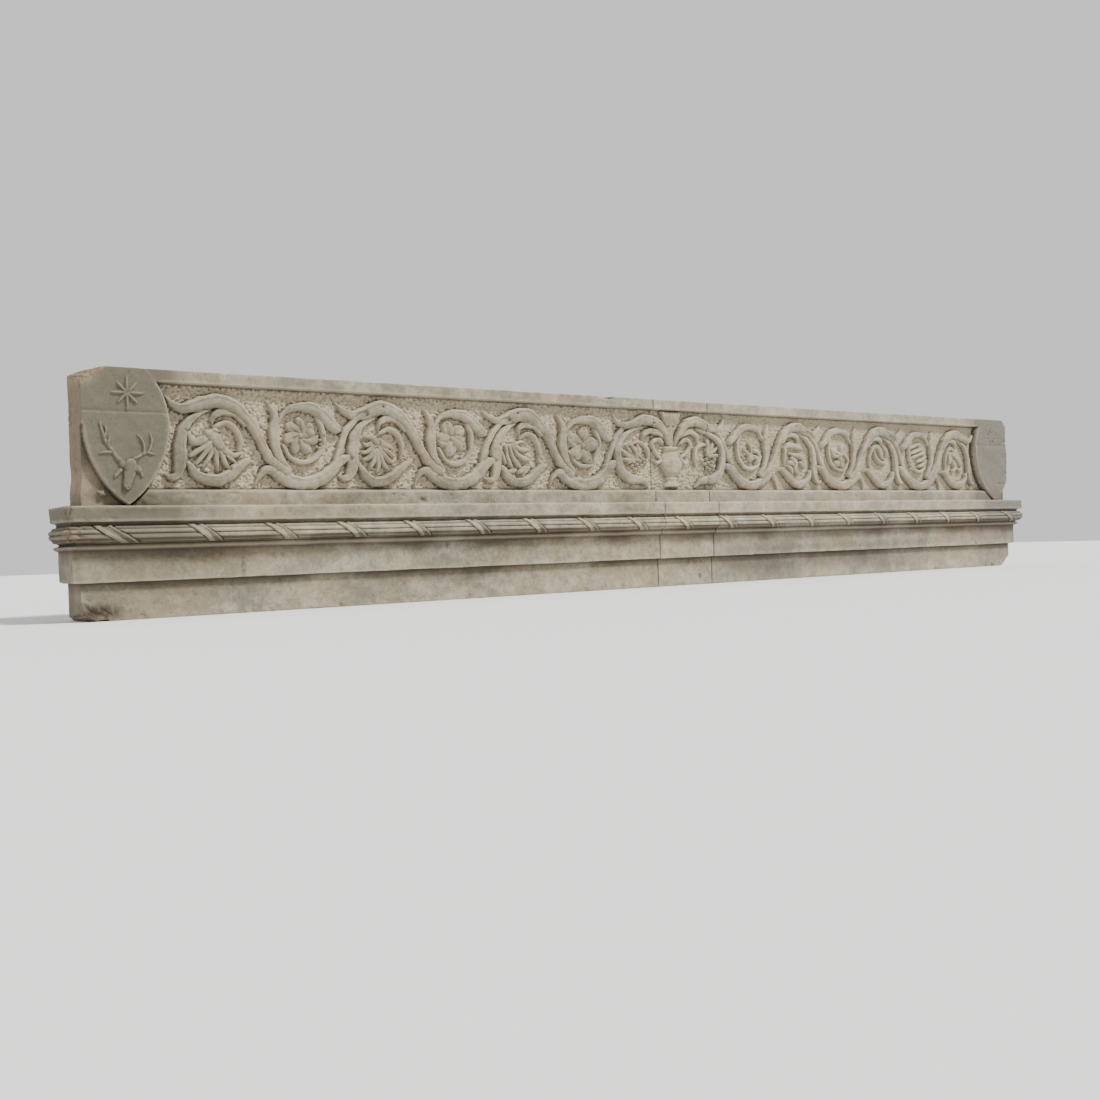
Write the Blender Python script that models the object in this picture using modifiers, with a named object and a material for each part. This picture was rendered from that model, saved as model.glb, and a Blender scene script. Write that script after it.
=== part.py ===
# Carved stone fireplace lintel: a frieze of leafy scrolls between two shields, with the architrave
# mouldings under it, in three blocks set end to end. Run with blender --background --python part.py
# Metres, +Z up. The front faces -Y, the length lies along X, and the lintel stands on Z = 0.

import math

import bpy
import bmesh
from mathutils import Matrix, Vector

# The whole lintel. The plain bands of the frieze lie in one upright plane, and projections are
# measured forward from that plane; the mouldings turn the corners with the same projections.
FRIEZE_LENGTH = 2.980
FRIEZE_HEIGHT = 0.270
BODY_DEPTH = 0.104            # from the plane of the bands back to the wall side

# Mouldings below the frieze, from the top down: height of each, then its projection.
FILLET_HEIGHT = 0.030
FILLET_OUT = 0.0356
QUIRK_HEIGHT = 0.007          # the dark groove under the fillet
QUIRK_OUT = 0.026
TORUS_HEIGHT = 0.033
TORUS_OUT = 0.0386
OVOLO_HEIGHT = 0.013
OVOLO_OUT = 0.021
UPPER_FASCIA_HEIGHT = 0.0633
UPPER_FASCIA_OUT = 0.0108
LOWER_FASCIA_HEIGHT = 0.074
REEDS = 4                     # in the bundle that makes the torus
REED_DEPTH = 0.0022           # of the grooves between them
REED_WRAP = 84                # how far round the bundle is worked up and down, in degrees

# The sunk panel behind the carving
LOWER_BAND = 0.031
UPPER_BAND = 0.025
PANEL_CHAMFER = 0.004
SINK = 0.018
CORNER_SINK = 0.012           # shallower sinking beside the shields' points
CORNER_LEDGE = 0.001          # what it leaves standing above the fillet

# The three blocks
JOINT_GAP = 0.0003
URN_TO_LEFT_JOINT = 0.066
CENTRE_BLOCK_LENGTH = 0.190

# The shields. The left one is whole in width, and the right one is cut off by the block's end.
LEFT_SHIELD_HALF = 0.0867
RIGHT_SHIELD_HALF = 0.098
LEFT_SHIELD_INSET = 0.0875    # from the block's end in to the shield's middle
RIGHT_SHIELD_INSET = 0.068
SHIELD_BROADEST = 0.165       # height of its broadest place above the fillet
SHIELD_TOP_RADIUS = 0.145
CHIEF_LINE = 0.182            # height of the step across the shield
CHIEF_PROUD = 0.003
FIELD_PROUD = 0.005
STAR_RADIUS = 0.033
STAR_HEIGHT = 0.219
STAR_RAYS = 8
STAR_RISE = 3                 # in the drawing's millimetres
STAR_NOTCH = 0.2              # how far in the rays part, as a share of their reach
STAR_CROWN = 0.06             # its flat middle, the same way

# The scroll frieze
URN_BAY = 0.2003              # from the urn's middle to the first regular scroll's edge
URN_SCROLL_PLACE = 0.130      # from the urn's middle to the middle of the scroll beside it
SCROLLS_PER_SIDE = 6          # regular scrolls, besides the one at the urn
DRAWN_PANEL_HEIGHT = 0.210    # the carving's points are in millimetres for a panel this high
SLENDER = 8                   # stems of at most this half width are cut to a ridge
SHORTEST_END = 0.4            # of a full facet, below which a stroke's last one joins its neighbour
SECTION_FOOT = 1.12           # a stem's cross-section, in half widths: half its breadth at the keel,
SECTION_CROWN = 0.7           # half its flat crown,
SECTION_KEEL = 3.0            # and how deep it runs into the stone

# The ribbons wound round the torus
RIBBON_COUNT = 19
RIBBON_WIDTH = 0.026
RIBBON_LEAN = 0.044           # how far a ribbon runs along while it goes down the torus
RIBBON_RAISE = 0.0022
FIRST_RIBBON = 0.034          # from the frieze's left end
LAST_RIBBON = 0.090           # from the frieze's right end

STONE_COLOURS = {"stone_left": (0.36, 0.33, 0.27), "stone_centre": (0.40, 0.37, 0.30),
                 "stone_right": (0.40, 0.36, 0.30)}

ARCHITRAVE_HEIGHT = (FILLET_HEIGHT + QUIRK_HEIGHT + TORUS_HEIGHT + OVOLO_HEIGHT
                     + UPPER_FASCIA_HEIGHT + LOWER_FASCIA_HEIGHT)
TOTAL_HEIGHT = ARCHITRAVE_HEIGHT + FRIEZE_HEIGHT
HALF_LENGTH = FRIEZE_LENGTH / 2
BAND_PLANE = (TORUS_OUT + RIBBON_RAISE - BODY_DEPTH) / 2     # Y of the plain bands: depth is centred
BACK_PLANE = BAND_PLANE + BODY_DEPTH
GROUND_PLANE = BAND_PLANE + SINK
PANEL_LOW = ARCHITRAVE_HEIGHT + LOWER_BAND
PANEL_HIGH = TOTAL_HEIGHT - UPPER_BAND
PANEL_MIDDLE = (PANEL_LOW + PANEL_HIGH) / 2
DRAWING = (PANEL_HIGH - PANEL_LOW - PANEL_CHAMFER) / DRAWN_PANEL_HEIGHT * 0.001
LEFT_SHIELD_X = LEFT_SHIELD_INSET - HALF_LENGTH
RIGHT_SHIELD_X = HALF_LENGTH - RIGHT_SHIELD_INSET
FIELD_LEFT = LEFT_SHIELD_X + LEFT_SHIELD_HALF
FIELD_RIGHT = RIGHT_SHIELD_X - RIGHT_SHIELD_HALF
URN_X = (FIELD_LEFT + FIELD_RIGHT) / 2
SCROLL_PITCH = ((FIELD_RIGHT - FIELD_LEFT) / 2 - URN_BAY) / SCROLLS_PER_SIDE
LEFT_JOINT = URN_X - URN_TO_LEFT_JOINT
RIGHT_JOINT = LEFT_JOINT + CENTRE_BLOCK_LENGTH
BEYOND = 0.05                 # how far a cutter runs past the stone
WELD = 0.00002
FLAT_WITHIN = 0.5             # faces that turn less than this many degrees are made one
SPUR_WITHIN = 0.02            # the angle of a corner that is only a spur, in degrees

# Carved stems and leaves, drawn in millimetres from the scroll's middle: across, up, half width.
# A scroll under the upper band has a broad leaf over its top; the next has a broad stem under it.
LEAF_OVER = ((-108, 88, 2), (-92, 71, 6), (-70, 60, 9), (-42, 65, 13), (-8, 77, 16), (25, 75, 16),
             (52, 59, 14), (72, 38, 11), (88, 14, 9), (103, -18, 8), (122, -46, 9), (150, -68, 9))
LEAF_HOOK = ((64, 33, 7), (44, 52, 9), (16, 56, 9), (-4, 44, 6), (-5, 26, 2))
LEAF_EYE = ((-2, 22, 4), (22, 31, 6), (44, 17, 7), (53, -8, 6), (49, -36, 3))
LEAF_BAND = ((-8, 62, 4), (-42, 44, 7), (-64, 16, 11), (-72, -20, 13), (-74, -52, 13), (-80, -76, 9),
             (-94, -83, 6), (-105, -76, 2))
LEAF_UNDER = ((-57, -52, 6), (-40, -77, 10), (-10, -89, 12), (20, -82, 12), (45, -62, 11),
              (66, -46, 7), (82, -50, 2))
STEM_UNDER = ((-107, -101, 2), (-97, -78, 5), (-78, -62, 9), (-52, -77, 13), (-22, -90, 15),
              (8, -93, 15), (38, -86, 15), (64, -68, 14), (84, -47, 12), (98, -38, 9), (112, -36, 4))
STEM_RISER = ((78, -48, 8), (89, -12, 8), (108, 26, 8), (132, 54, 7), (152, 64, 5))
STEM_TAIL = ((-78, 85, 2), (-68, 70, 5), (-59, 46, 9), (-63, 18, 12), (-62, -10, 11), (-52, -38, 9),
             (-34, -62, 7))
STEM_OVER = ((-52, 38, 4), (-34, 62, 6), (-5, 73, 9), (25, 71, 12), (50, 57, 13), (68, 39, 13),
             (84, 28, 9), (95, 26, 3))
STEM_RING = ((38, 50, 5), (50, 24, 6), (47, -10, 6), (28, -37, 6), (0, -46, 6), (-26, -36, 5),
             (-42, -10, 4))
URN_LEAF = ((-66, 98, 2), (-56, 74, 5), (-34, 62, 8), (0, 66, 11), (34, 80, 14), (64, 79, 14),
            (92, 62, 12), (110, 40, 8), (122, 16, 5))
URN_HOOK = ((106, 36, 5), (84, 48, 8), (58, 52, 8), (38, 40, 6), (34, 22, 2))
URN_ARC = ((36, 62, 4), (5, 54, 6), (-32, 36, 8), (-52, 8, 10), (-54, -24, 11), (-42, -56, 12),
           (-18, -75, 13), (12, -79, 11), (32, -85, 7), (48, -98, 3))
URN_EYE = ((-8, 12, 3), (18, 20, 5), (42, 8, 6), (50, -14, 6), (43, -40, 3))

# The strokes of each kind of scroll with the height of their crests above the sunk ground
STEM_SCROLL = ((STEM_UNDER, 18.6), (STEM_TAIL, 16.2), (STEM_OVER, 17.4), (STEM_RING, 15),
               (STEM_RISER, 13.8))
LEAF_SCROLL = ((LEAF_OVER, 19.2), (LEAF_BAND, 16.8), (LEAF_UNDER, 18), (LEAF_HOOK, 15.6),
               (LEAF_EYE, 14.4))
URN_SCROLL = ((URN_LEAF, 19), (URN_ARC, 17.6), (URN_HOOK, 16.4), (URN_EYE, 15.2))

# What fills each scroll, from the urn outwards: how many lobes, their reach, how far in the notches
# between them come as a share of it, and a turn in degrees
LEFT_FILLINGS = ((5, 35, 0.6, 18), (6, 38, 0.45, -20), (5, 34, 0.75, 54), (7, 38, 0.5, 0),
                 (7, 33, 0.8, 0), (7, 38, 0.5, 6))
RIGHT_FILLINGS = ((4, 33, 0.6, 60), (5, 36, 0.5, 30), (3, 33, 0.6, 90), (3, 26, 0.8, 30),
                  (5, 34, 0.7, 60), (4, 34, 0.6, 40))
LEAF_LOBES = (2, 0)           # where the lobes of a leaf meet, from the scroll's middle
FLOWER_LOBES = (-5, 6)        # the same for a flower
LOBE_RISE = 13
LOBE_CROWN = 0.3              # radius of the raised middle as a share of the lobes' reach
GRAPES = ((4, -22), (18, -14), (30, -4), (10, -36), (24, -28))
GRAPE_RADIUS = 7
GRAPE_RISE = 12

# The urn's half width at heights above the foot, in millimetres for the drawn panel
URN_OUTLINE = ((27, 0), (26, 5), (17, 15), (20, 20), (20, 26), (17, 28), (31, 41), (39, 58), (39, 68),
               (31, 84), (23, 98), (23, 103), (26, 106), (26, 110))
URN_FOOT = -99                # its foot, from the panel's middle
URN_FLATTENED = 0.48          # depth of the half urn as a share of its half width
URN_HANDLE = (((-36, -20, 4), (-58, -2, 5), (-68, 16, 5), (-60, 28, 5), (-44, 30, 5), (-31, 20, 4)), 12)
URN_CURL = (((-38, -24, 4), (-52, -32, 5), (-60, -26, 2)), 11)

# The sheaf in the urn's mouth and the crown of leaves on it, each with its crest
URN_SHEAF = ((((0, 8, 8), (0, 46, 8)), 15), (((0, 38, 9), (0, 98, 17)), 13.4),
             (((-5, 44, 5), (-26, 96, 9)), 12.6), (((5, 44, 5), (26, 96, 9)), 10.6))

# The stag's head, from the shield's middle and up from the fillet: antlers and ears, then the face
DRAWN_SHIELD_HALF = 86.7      # half width of the shield that it is drawn for
ANTLER_CREST = 4
FACE_CREST = 8
CREST_STEP = 0.3              # each stroke stands this much above the one before it
ANTLERS = (
    ((-14, 86, 6), (-30, 106, 3), (-44, 122, 3), (-50, 140, 2), (-54, 162, 1)),
    ((-36, 101, 2), (-56, 103, 1)), ((-34, 112, 2), (-38, 126, 1)),
    ((14, 92, 4), (32, 103, 3), (52, 102, 1)), ((33, 103, 3), (30, 120, 2), (21, 138, 1)),
    ((38, 103, 2), (48, 124, 2), (46, 142, 1)))
FACE = (((-14, 84, 7), (4, 78, 12), (22, 68, 7)), ((-26, 64, 4), (-12, 66, 6)),
        ((4, 74, 10), (0, 58, 10), (-2, 46, 9), (-4, 39, 5)))

# The worst damage: where each broken corner is, from the lintel's left or right end, from the plane of
# the bands and in height, then the size and the turns of the box that takes it away
TOP_LEFT_BREAK = ((-0.012, -0.014, TOTAL_HEIGHT), (0.08, 0.05, 0.08), (10, 38, 14))
FOOT_LEFT_BREAK = ((0.004, -0.012, -0.01), (0.05, 0.03, 0.036), (0, 8, 12))
FILLET_BREAK = ((-FILLET_OUT, -FILLET_OUT, ARCHITRAVE_HEIGHT - FILLET_HEIGHT), (0.02, 0.02, 0.05),
                (0, 0, 45))
FOOT_RIGHT_BREAK = ((0.012, -0.01, 0.002), (0.03, 0.06, 0.12), (0, 12, 0))


def make_collection(name):
    """A new collection in the scene."""
    collection = bpy.data.collections.new(name)
    bpy.context.scene.collection.children.link(collection)
    return collection


def make_stone(name, colour):
    """Dressed sandstone in one plain tone."""
    material = bpy.data.materials.new(name)
    material.use_nodes = True
    shader = material.node_tree.nodes["Principled BSDF"]
    shader.inputs["Base Color"].default_value = (*colour, 1.0)
    shader.inputs["Roughness"].default_value = 0.85
    shader.inputs["Metallic"].default_value = 0.0
    return material


def add_guide(name, data):
    """Link an object that only shapes others: it isn't rendered and shows as wire."""
    guide = bpy.data.objects.new(name, data)
    guide.hide_render = True
    guide.display_type = "WIRE"
    bpy.data.collections["guides"].objects.link(guide)
    return guide


def mesh_of(source, name):
    """The evaluated mesh of an object, in world place, welded and put in a new guide object."""
    bpy.context.view_layer.update()
    evaluated = source.evaluated_get(bpy.context.evaluated_depsgraph_get())
    mesh = bpy.data.meshes.new_from_object(evaluated)
    mesh.transform(source.matrix_world)
    shape = bmesh.new()
    shape.from_mesh(mesh)
    bmesh.ops.remove_doubles(shape, verts=shape.verts, dist=WELD)
    bmesh.ops.recalc_face_normals(shape, faces=shape.faces)
    shape.to_mesh(mesh)
    shape.free()
    bpy.data.objects.remove(source)
    mesh.materials.clear()
    return add_guide(name, mesh)


def merge_flat_faces(guide):
    """Make one face of each flat area. Where Booleans made a face run out to a corner and straight back,
    that spur is given to the face on its other side."""
    shape = bmesh.new()
    shape.from_mesh(guide.data)
    spurs = []
    for face in list(shape.faces):
        for loop in list(face.loops):
            here = loop.vert
            sides = (loop.link_loop_prev.vert, loop.link_loop_next.vert)
            runs = [corner.co - here.co for corner in sides]
            if math.degrees(runs[0].angle(runs[1], math.pi)) < SPUR_WITHIN:
                if len(face.verts) > 3:
                    bmesh.utils.face_split(face, *sides)
                far_end = sides[0] if runs[0].length > runs[1].length else sides[1]
                spurs.append(shape.edges.get((here, far_end)))
                break
    bmesh.ops.dissolve_edges(shape, edges=spurs, use_verts=False)
    bmesh.ops.dissolve_limit(shape, angle_limit=math.radians(FLAT_WITHIN), verts=shape.verts,
                             edges=shape.edges)
    shape.to_mesh(guide.data)
    shape.free()
    return guide


def extrude_outline(name, outline, low, high, across):
    """A prism from an outline of (run, height) points. Its run lies along X where across is "Y", and
    along Y where across is "X", and the prism reaches from low to high along the across axis."""
    curve = bpy.data.curves.new(name, "CURVE")
    curve.dimensions = "2D"
    curve.fill_mode = "BOTH"
    curve.extrude = (high - low) / 2
    spline = curve.splines.new("POLY")
    spline.points.add(len(outline) - 1)
    for point, (run, height) in zip(spline.points, outline):
        point.co = (run, height, 0.0, 1.0)
    spline.use_cyclic_u = True
    prism = add_guide(name + "_outline", curve)
    middle = (low + high) / 2
    upright = Matrix.Rotation(math.pi / 2, 4, "X")
    if across == "Y":
        prism.matrix_world = Matrix.Translation((0.0, middle, 0.0)) @ upright
    else:
        turned = Matrix.Rotation(math.pi / 2, 4, "Z") @ upright
        prism.matrix_world = Matrix.Translation((middle, 0.0, 0.0)) @ turned
    return mesh_of(prism, name)


def combine(target, cutter, operation, overlapping=False):
    """Add one exact Boolean to a target."""
    modifier = target.modifiers.new(cutter.name, "BOOLEAN")
    modifier.operation = operation
    modifier.object = cutter
    modifier.solver = "EXACT"
    modifier.use_self = overlapping


def join_guides(name, guides):
    """One guide from several."""
    shape = bmesh.new()
    for guide in guides:
        shape.from_mesh(guide.data)
        bpy.data.objects.remove(guide)
    mesh = bpy.data.meshes.new(name)
    shape.to_mesh(mesh)
    shape.free()
    return add_guide(name, mesh)


def moulding_outline(top, foot):
    """The profile of frieze and mouldings as (projection, height) points, from top to foot."""
    height = ARCHITRAVE_HEIGHT
    points = [(0.0, top), (0.0, height), (FILLET_OUT, height)]
    height -= FILLET_HEIGHT
    points += [(FILLET_OUT, height), (QUIRK_OUT, height - QUIRK_HEIGHT / 3)]
    height -= QUIRK_HEIGHT
    points += torus_outline(height, 0.0)
    height -= TORUS_HEIGHT
    points += [(OVOLO_OUT, height - OVOLO_HEIGHT / 4), (OVOLO_OUT, height - OVOLO_HEIGHT * 0.8)]
    height -= OVOLO_HEIGHT
    points += [(UPPER_FASCIA_OUT, height), (UPPER_FASCIA_OUT, height - UPPER_FASCIA_HEIGHT)]
    height -= UPPER_FASCIA_HEIGHT
    points += [(0.0, height), (0.0, foot)]
    return points


def torus_outline(top, raised, reeds=REEDS):
    """The bundle of reeds below the height top; with a raise, the smooth sleeve round it."""
    radius = TORUS_HEIGHT / 2
    middle = (TORUS_OUT - radius, top - radius)
    points = []
    steps = reeds * 2
    for step in range(steps + 1):
        angle = math.radians(REED_WRAP * (1 - 2 * step / steps))
        groove = raised == 0.0 and step % 2 == 0 and 0 < step < steps
        reach = radius + raised - (REED_DEPTH if groove else 0.0)
        points.append((middle[0] + reach * math.cos(angle), middle[1] + reach * math.sin(angle)))
    return points


def plain_body():
    """The moulded block, running past its ends, its top and its underside."""
    top = TOTAL_HEIGHT + BEYOND
    front = [(BAND_PLANE - out, height) for out, height in moulding_outline(top, -BEYOND)]
    front += [(BACK_PLANE, -BEYOND), (BACK_PLANE, top)]
    longest = HALF_LENGTH + TORUS_OUT + BEYOND
    return extrude_outline("plain_body", front, -longest, longest, "X")


def end_profile():
    """The same profile at both ends, run along Y: what lies outside it is cut away."""
    profile = moulding_outline(TOTAL_HEIGHT, 0.0)
    ends = [(-HALF_LENGTH - out, height) for out, height in profile]
    ends += [(HALF_LENGTH + out, height) for out, height in reversed(profile)]
    return extrude_outline("end_profile", ends, BAND_PLANE - TORUS_OUT - BEYOND, BACK_PLANE + BEYOND, "Y")


def panel_cutter():
    """The sunk panel between the shields' middles, with sloping upper and lower edges."""
    section = [(BAND_PLANE - BEYOND, PANEL_LOW), (BAND_PLANE, PANEL_LOW),
               (GROUND_PLANE, PANEL_LOW + PANEL_CHAMFER), (GROUND_PLANE, PANEL_HIGH - PANEL_CHAMFER),
               (BAND_PLANE, PANEL_HIGH), (BAND_PLANE - BEYOND, PANEL_HIGH)]
    return extrude_outline("panel_cutter", section, LEFT_SHIELD_X, RIGHT_SHIELD_X, "X")


def corner_cutter(name, left, right):
    """The sinking that runs out to the block's end beside a shield's point."""
    low = ARCHITRAVE_HEIGHT + CORNER_LEDGE
    high = ARCHITRAVE_HEIGHT + SHIELD_BROADEST
    section = [(left, low), (right, low), (right, high), (left, high)]
    return extrude_outline(name, section, BAND_PLANE - FILLET_OUT / 2, BAND_PLANE + CORNER_SINK, "Y")


def shield_edge(half, height):
    """Half width of a shield at a height above the fillet, or None above its crown."""
    rise = height - SHIELD_BROADEST
    if rise < 0.0:
        radius = (half ** 2 + SHIELD_BROADEST ** 2) / (2 * half)
    else:
        radius = SHIELD_TOP_RADIUS
    if abs(rise) > radius:
        return None
    return half - radius + math.sqrt(radius ** 2 - rise ** 2)


def shield(name, middle, half, low, high, proud, steps=9):
    """The slice of a shield between two heights above the fillet, standing proud of the bands."""
    right = []
    for step in range(steps + 1):
        height = low + (high - low) * step / steps
        right.append((max(shield_edge(half, height), 0.0005), height))
    outline = [(middle + side, ARCHITRAVE_HEIGHT + height) for side, height in right]
    outline += [(middle - side, ARCHITRAVE_HEIGHT + height) for side, height in reversed(right)]
    return extrude_outline(name, outline, BAND_PLANE - proud, GROUND_PLANE + SINK, "Y")


def smooth_points(points, steps=8):
    """A smooth line through (x, y, half width) points, closely sampled."""
    padded = [points[0]] + list(points) + [points[-1]]
    line = []
    for before, start, end, after in zip(padded, padded[1:], padded[2:], padded[3:]):
        for step in range(steps):
            t = step / steps
            line.append([0.5 * (2 * b + (c - a) * t + (2 * a - 5 * b + 4 * c - d) * t ** 2
                                + (3 * b - a - 3 * c + d) * t ** 3)
                         for a, b, c, d in zip(before, start, end, after)])
    line.append(list(points[-1]))
    return line


def thinned(points, longest, sharpest):
    """Keep only the samples that the bends need: a facet is at most so long and turns so much."""
    line = smooth_points(points)
    kept = [line[0]]
    run = 0.0
    turn = 0.0
    for before, here, after in zip(line, line[1:], line[2:]):
        step = Vector((here[0] - before[0], here[1] - before[1]))
        following = Vector((after[0] - here[0], after[1] - here[1]))
        run += step.length / longest
        turn += abs(step.angle_signed(following, 0.0)) / math.radians(sharpest)
        if run + turn >= 1.0:
            kept.append(here)
            run = 0.0
            turn = 0.0
    if run + turn < SHORTEST_END:
        kept.pop()
    kept.append(line[-1])
    return kept


def add_stroke(curve, points, crest, longest=40, sharpest=46):
    """One carved stem or leaf as a spline: it rises to the crest where it is broad enough."""
    line = thinned(points, longest, sharpest) if len(points) > 3 else points
    spline = curve.splines.new("POLY")
    spline.points.add(len(line) - 1)
    for point, (x, y, half) in zip(spline.points, line):
        lift = min(crest - half, 2 * half - 1)
        point.co = (x, y, lift, 1.0)
        point.radius = half


def upright_place(x, plane, height, scale, mirrored=False):
    """Where a drawing in millimetres stands: its middle in X, the plane it is set on, its height."""
    side = -1.0 if mirrored else 1.0
    return (Matrix.Translation((x, plane, height)) @ Matrix.Rotation(math.pi / 2, 4, "X")
            @ Matrix.Diagonal((side * scale, scale, scale, 1.0)))


def stroke_parts(name, strokes, place):
    """Swept strokes, each (points, crest): broad ones have a flat crown, slender ones a ridge."""
    parts = []
    for section in ("broad", "slender"):
        chosen = [stroke for stroke in strokes
                  if (max(half for _, _, half in stroke[0]) > SLENDER) == (section == "broad")]
        if not chosen:
            continue
        curve = bpy.data.curves.new(name, "CURVE")
        curve.dimensions = "3D"
        curve.twist_mode = "Z_UP"
        curve.bevel_mode = "OBJECT"
        curve.bevel_object = bpy.data.objects.get(section) or add_section(section)
        curve.use_fill_caps = True
        for points, crest in chosen:
            add_stroke(curve, points, crest)
        guide = add_guide(name + "_" + section + "_strokes", curve)
        guide.matrix_world = place
        parts.append(mesh_of(guide, name + "_" + section))
    return parts


def add_section(name):
    """A cross-section for carved stems of radius 1: sloping sides up to a flat crown or a ridge."""
    curve = bpy.data.curves.new(name, "CURVE")
    curve.dimensions = "2D"
    spline = curve.splines.new("POLY")
    crown = ((-SECTION_CROWN, 1.0), (SECTION_CROWN, 1.0)) if name == "broad" else ((0.0, 1.0),)
    corners = ((-SECTION_FOOT, -SECTION_KEEL),) + crown + ((SECTION_FOOT, -SECTION_KEEL),)
    spline.points.add(len(corners) - 1)
    for point, (across, up) in zip(spline.points, corners):
        point.co = (across, up, 0.0, 1.0)
    spline.use_cyclic_u = True
    return add_guide(name, curve)


def lobed(name, lobes, reach, notch, turn, rise, crown, place):
    """A low lobed cone, for a flower, a fan of leaves or a star: every other side is drawn in."""
    mesh = bpy.data.meshes.new(name)
    shape = bmesh.new()
    bmesh.ops.create_cone(shape, cap_ends=True, segments=2 * lobes, radius1=reach,
                          radius2=reach * crown, depth=2 * rise)
    for corner in shape.verts:
        if corner.co.z < 0.0:
            side = round(math.atan2(corner.co.y, corner.co.x) / (math.pi / lobes))
            if side % 2:
                corner.co *= notch
            corner.co.z = -rise / 2
        else:
            corner.co.z = rise
    shape.transform(Matrix.Rotation(math.radians(turn), 4, "Z"))
    shape.to_mesh(mesh)
    shape.free()
    guide = add_guide(name + "_cone", mesh)
    guide.matrix_world = place
    return mesh_of(guide, name)


def scroll_side(side, fillings):
    """All the scrolls on one side of the urn; side is -1 for the left and 1 for the right."""
    mirrored = side > 0
    place = upright_place(URN_X + side * URN_SCROLL_PLACE, GROUND_PLANE, PANEL_MIDDLE, DRAWING, mirrored)
    parts = stroke_parts("urn_scroll", URN_SCROLL, place)
    for across, up in GRAPES:
        parts.append(lobed("grape", 3, GRAPE_RADIUS, 0.9, 0, GRAPE_RISE, 0.5,
                           place @ Matrix.Translation((across, up, 0))))
    for index, (lobes, reach, notch, turn) in enumerate(fillings):
        place = upright_place(URN_X + side * (URN_BAY + SCROLL_PITCH * (index + 0.5)), GROUND_PLANE,
                              PANEL_MIDDLE, DRAWING, mirrored)
        stemmed = index % 2 == 0
        middle = FLOWER_LOBES if stemmed else LEAF_LOBES
        parts += stroke_parts("scroll", STEM_SCROLL if stemmed else LEAF_SCROLL, place)
        parts.append(lobed("filling", lobes, reach, notch, turn, LOBE_RISE, LOBE_CROWN,
                           place @ Matrix.Translation((*middle, 0))))
    return parts


def urn_body():
    """The urn: a profile turned about its upright axis, flattened, and sunk half into the ground."""
    mesh = bpy.data.meshes.new("urn_profile")
    shape = bmesh.new()
    rings = [(0.0, URN_OUTLINE[0][1])] + list(URN_OUTLINE) + [(0.0, URN_OUTLINE[-1][1])]
    corners = [shape.verts.new((half * DRAWING, 0.0, height * DRAWING)) for half, height in rings]
    for start, end in zip(corners, corners[1:]):
        shape.edges.new((start, end))
    shape.to_mesh(mesh)
    shape.free()
    urn = add_guide("urn_profile", mesh)
    turning = urn.modifiers.new("turning", "SCREW")
    turning.steps = 16
    turning.render_steps = 16
    turning.use_merge_vertices = True
    turning.merge_threshold = WELD
    turning.use_normal_calculate = True
    urn.matrix_world = (Matrix.Translation((URN_X, GROUND_PLANE, PANEL_MIDDLE + URN_FOOT * DRAWING))
                        @ Matrix.Diagonal((1.0, URN_FLATTENED, 1.0, 1.0)))
    return mesh_of(urn, "urn")


def urn_trim():
    """The urn's handles, and the sheaf with its crown of leaves that stands in the mouth."""
    place = upright_place(URN_X, GROUND_PLANE, PANEL_MIDDLE, DRAWING)
    mirrored = upright_place(URN_X, GROUND_PLANE, PANEL_MIDDLE, DRAWING, mirrored=True)
    parts = stroke_parts("urn_crown", URN_SHEAF, place)
    parts += stroke_parts("left_handle", (URN_HANDLE, URN_CURL), place)
    return parts + stroke_parts("right_handle", (URN_HANDLE, URN_CURL), mirrored)


def shields():
    """Both shields: the chief, the slightly prouder field below it, the stars and the stag's head."""
    parts = []
    scale = LEFT_SHIELD_HALF / DRAWN_SHIELD_HALF
    for label, middle, half in (("left", LEFT_SHIELD_X, LEFT_SHIELD_HALF),
                                ("right", RIGHT_SHIELD_X, RIGHT_SHIELD_HALF)):
        parts.append(shield(label + "_chief", middle, half, CHIEF_LINE - CHIEF_PROUD,
                            FRIEZE_HEIGHT + CHIEF_PROUD, CHIEF_PROUD, steps=5))
        parts.append(shield(label + "_field", middle, half, FIELD_PROUD / 2, CHIEF_LINE, FIELD_PROUD,
                            steps=8))
        place = upright_place(middle, BAND_PLANE - CHIEF_PROUD, ARCHITRAVE_HEIGHT + STAR_HEIGHT, scale)
        parts.append(lobed(label + "_star", STAR_RAYS, STAR_RADIUS / scale, STAR_NOTCH, 0, STAR_RISE,
                           STAR_CROWN, place))
    stag = [(points, ANTLER_CREST + CREST_STEP * index) for index, points in enumerate(ANTLERS)]
    stag += [(points, FACE_CREST + CREST_STEP * index) for index, points in enumerate(FACE)]
    place = upright_place(LEFT_SHIELD_X, BAND_PLANE - FIELD_PROUD, ARCHITRAVE_HEIGHT, scale)
    return parts + stroke_parts("stag_head", stag, place)


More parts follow.
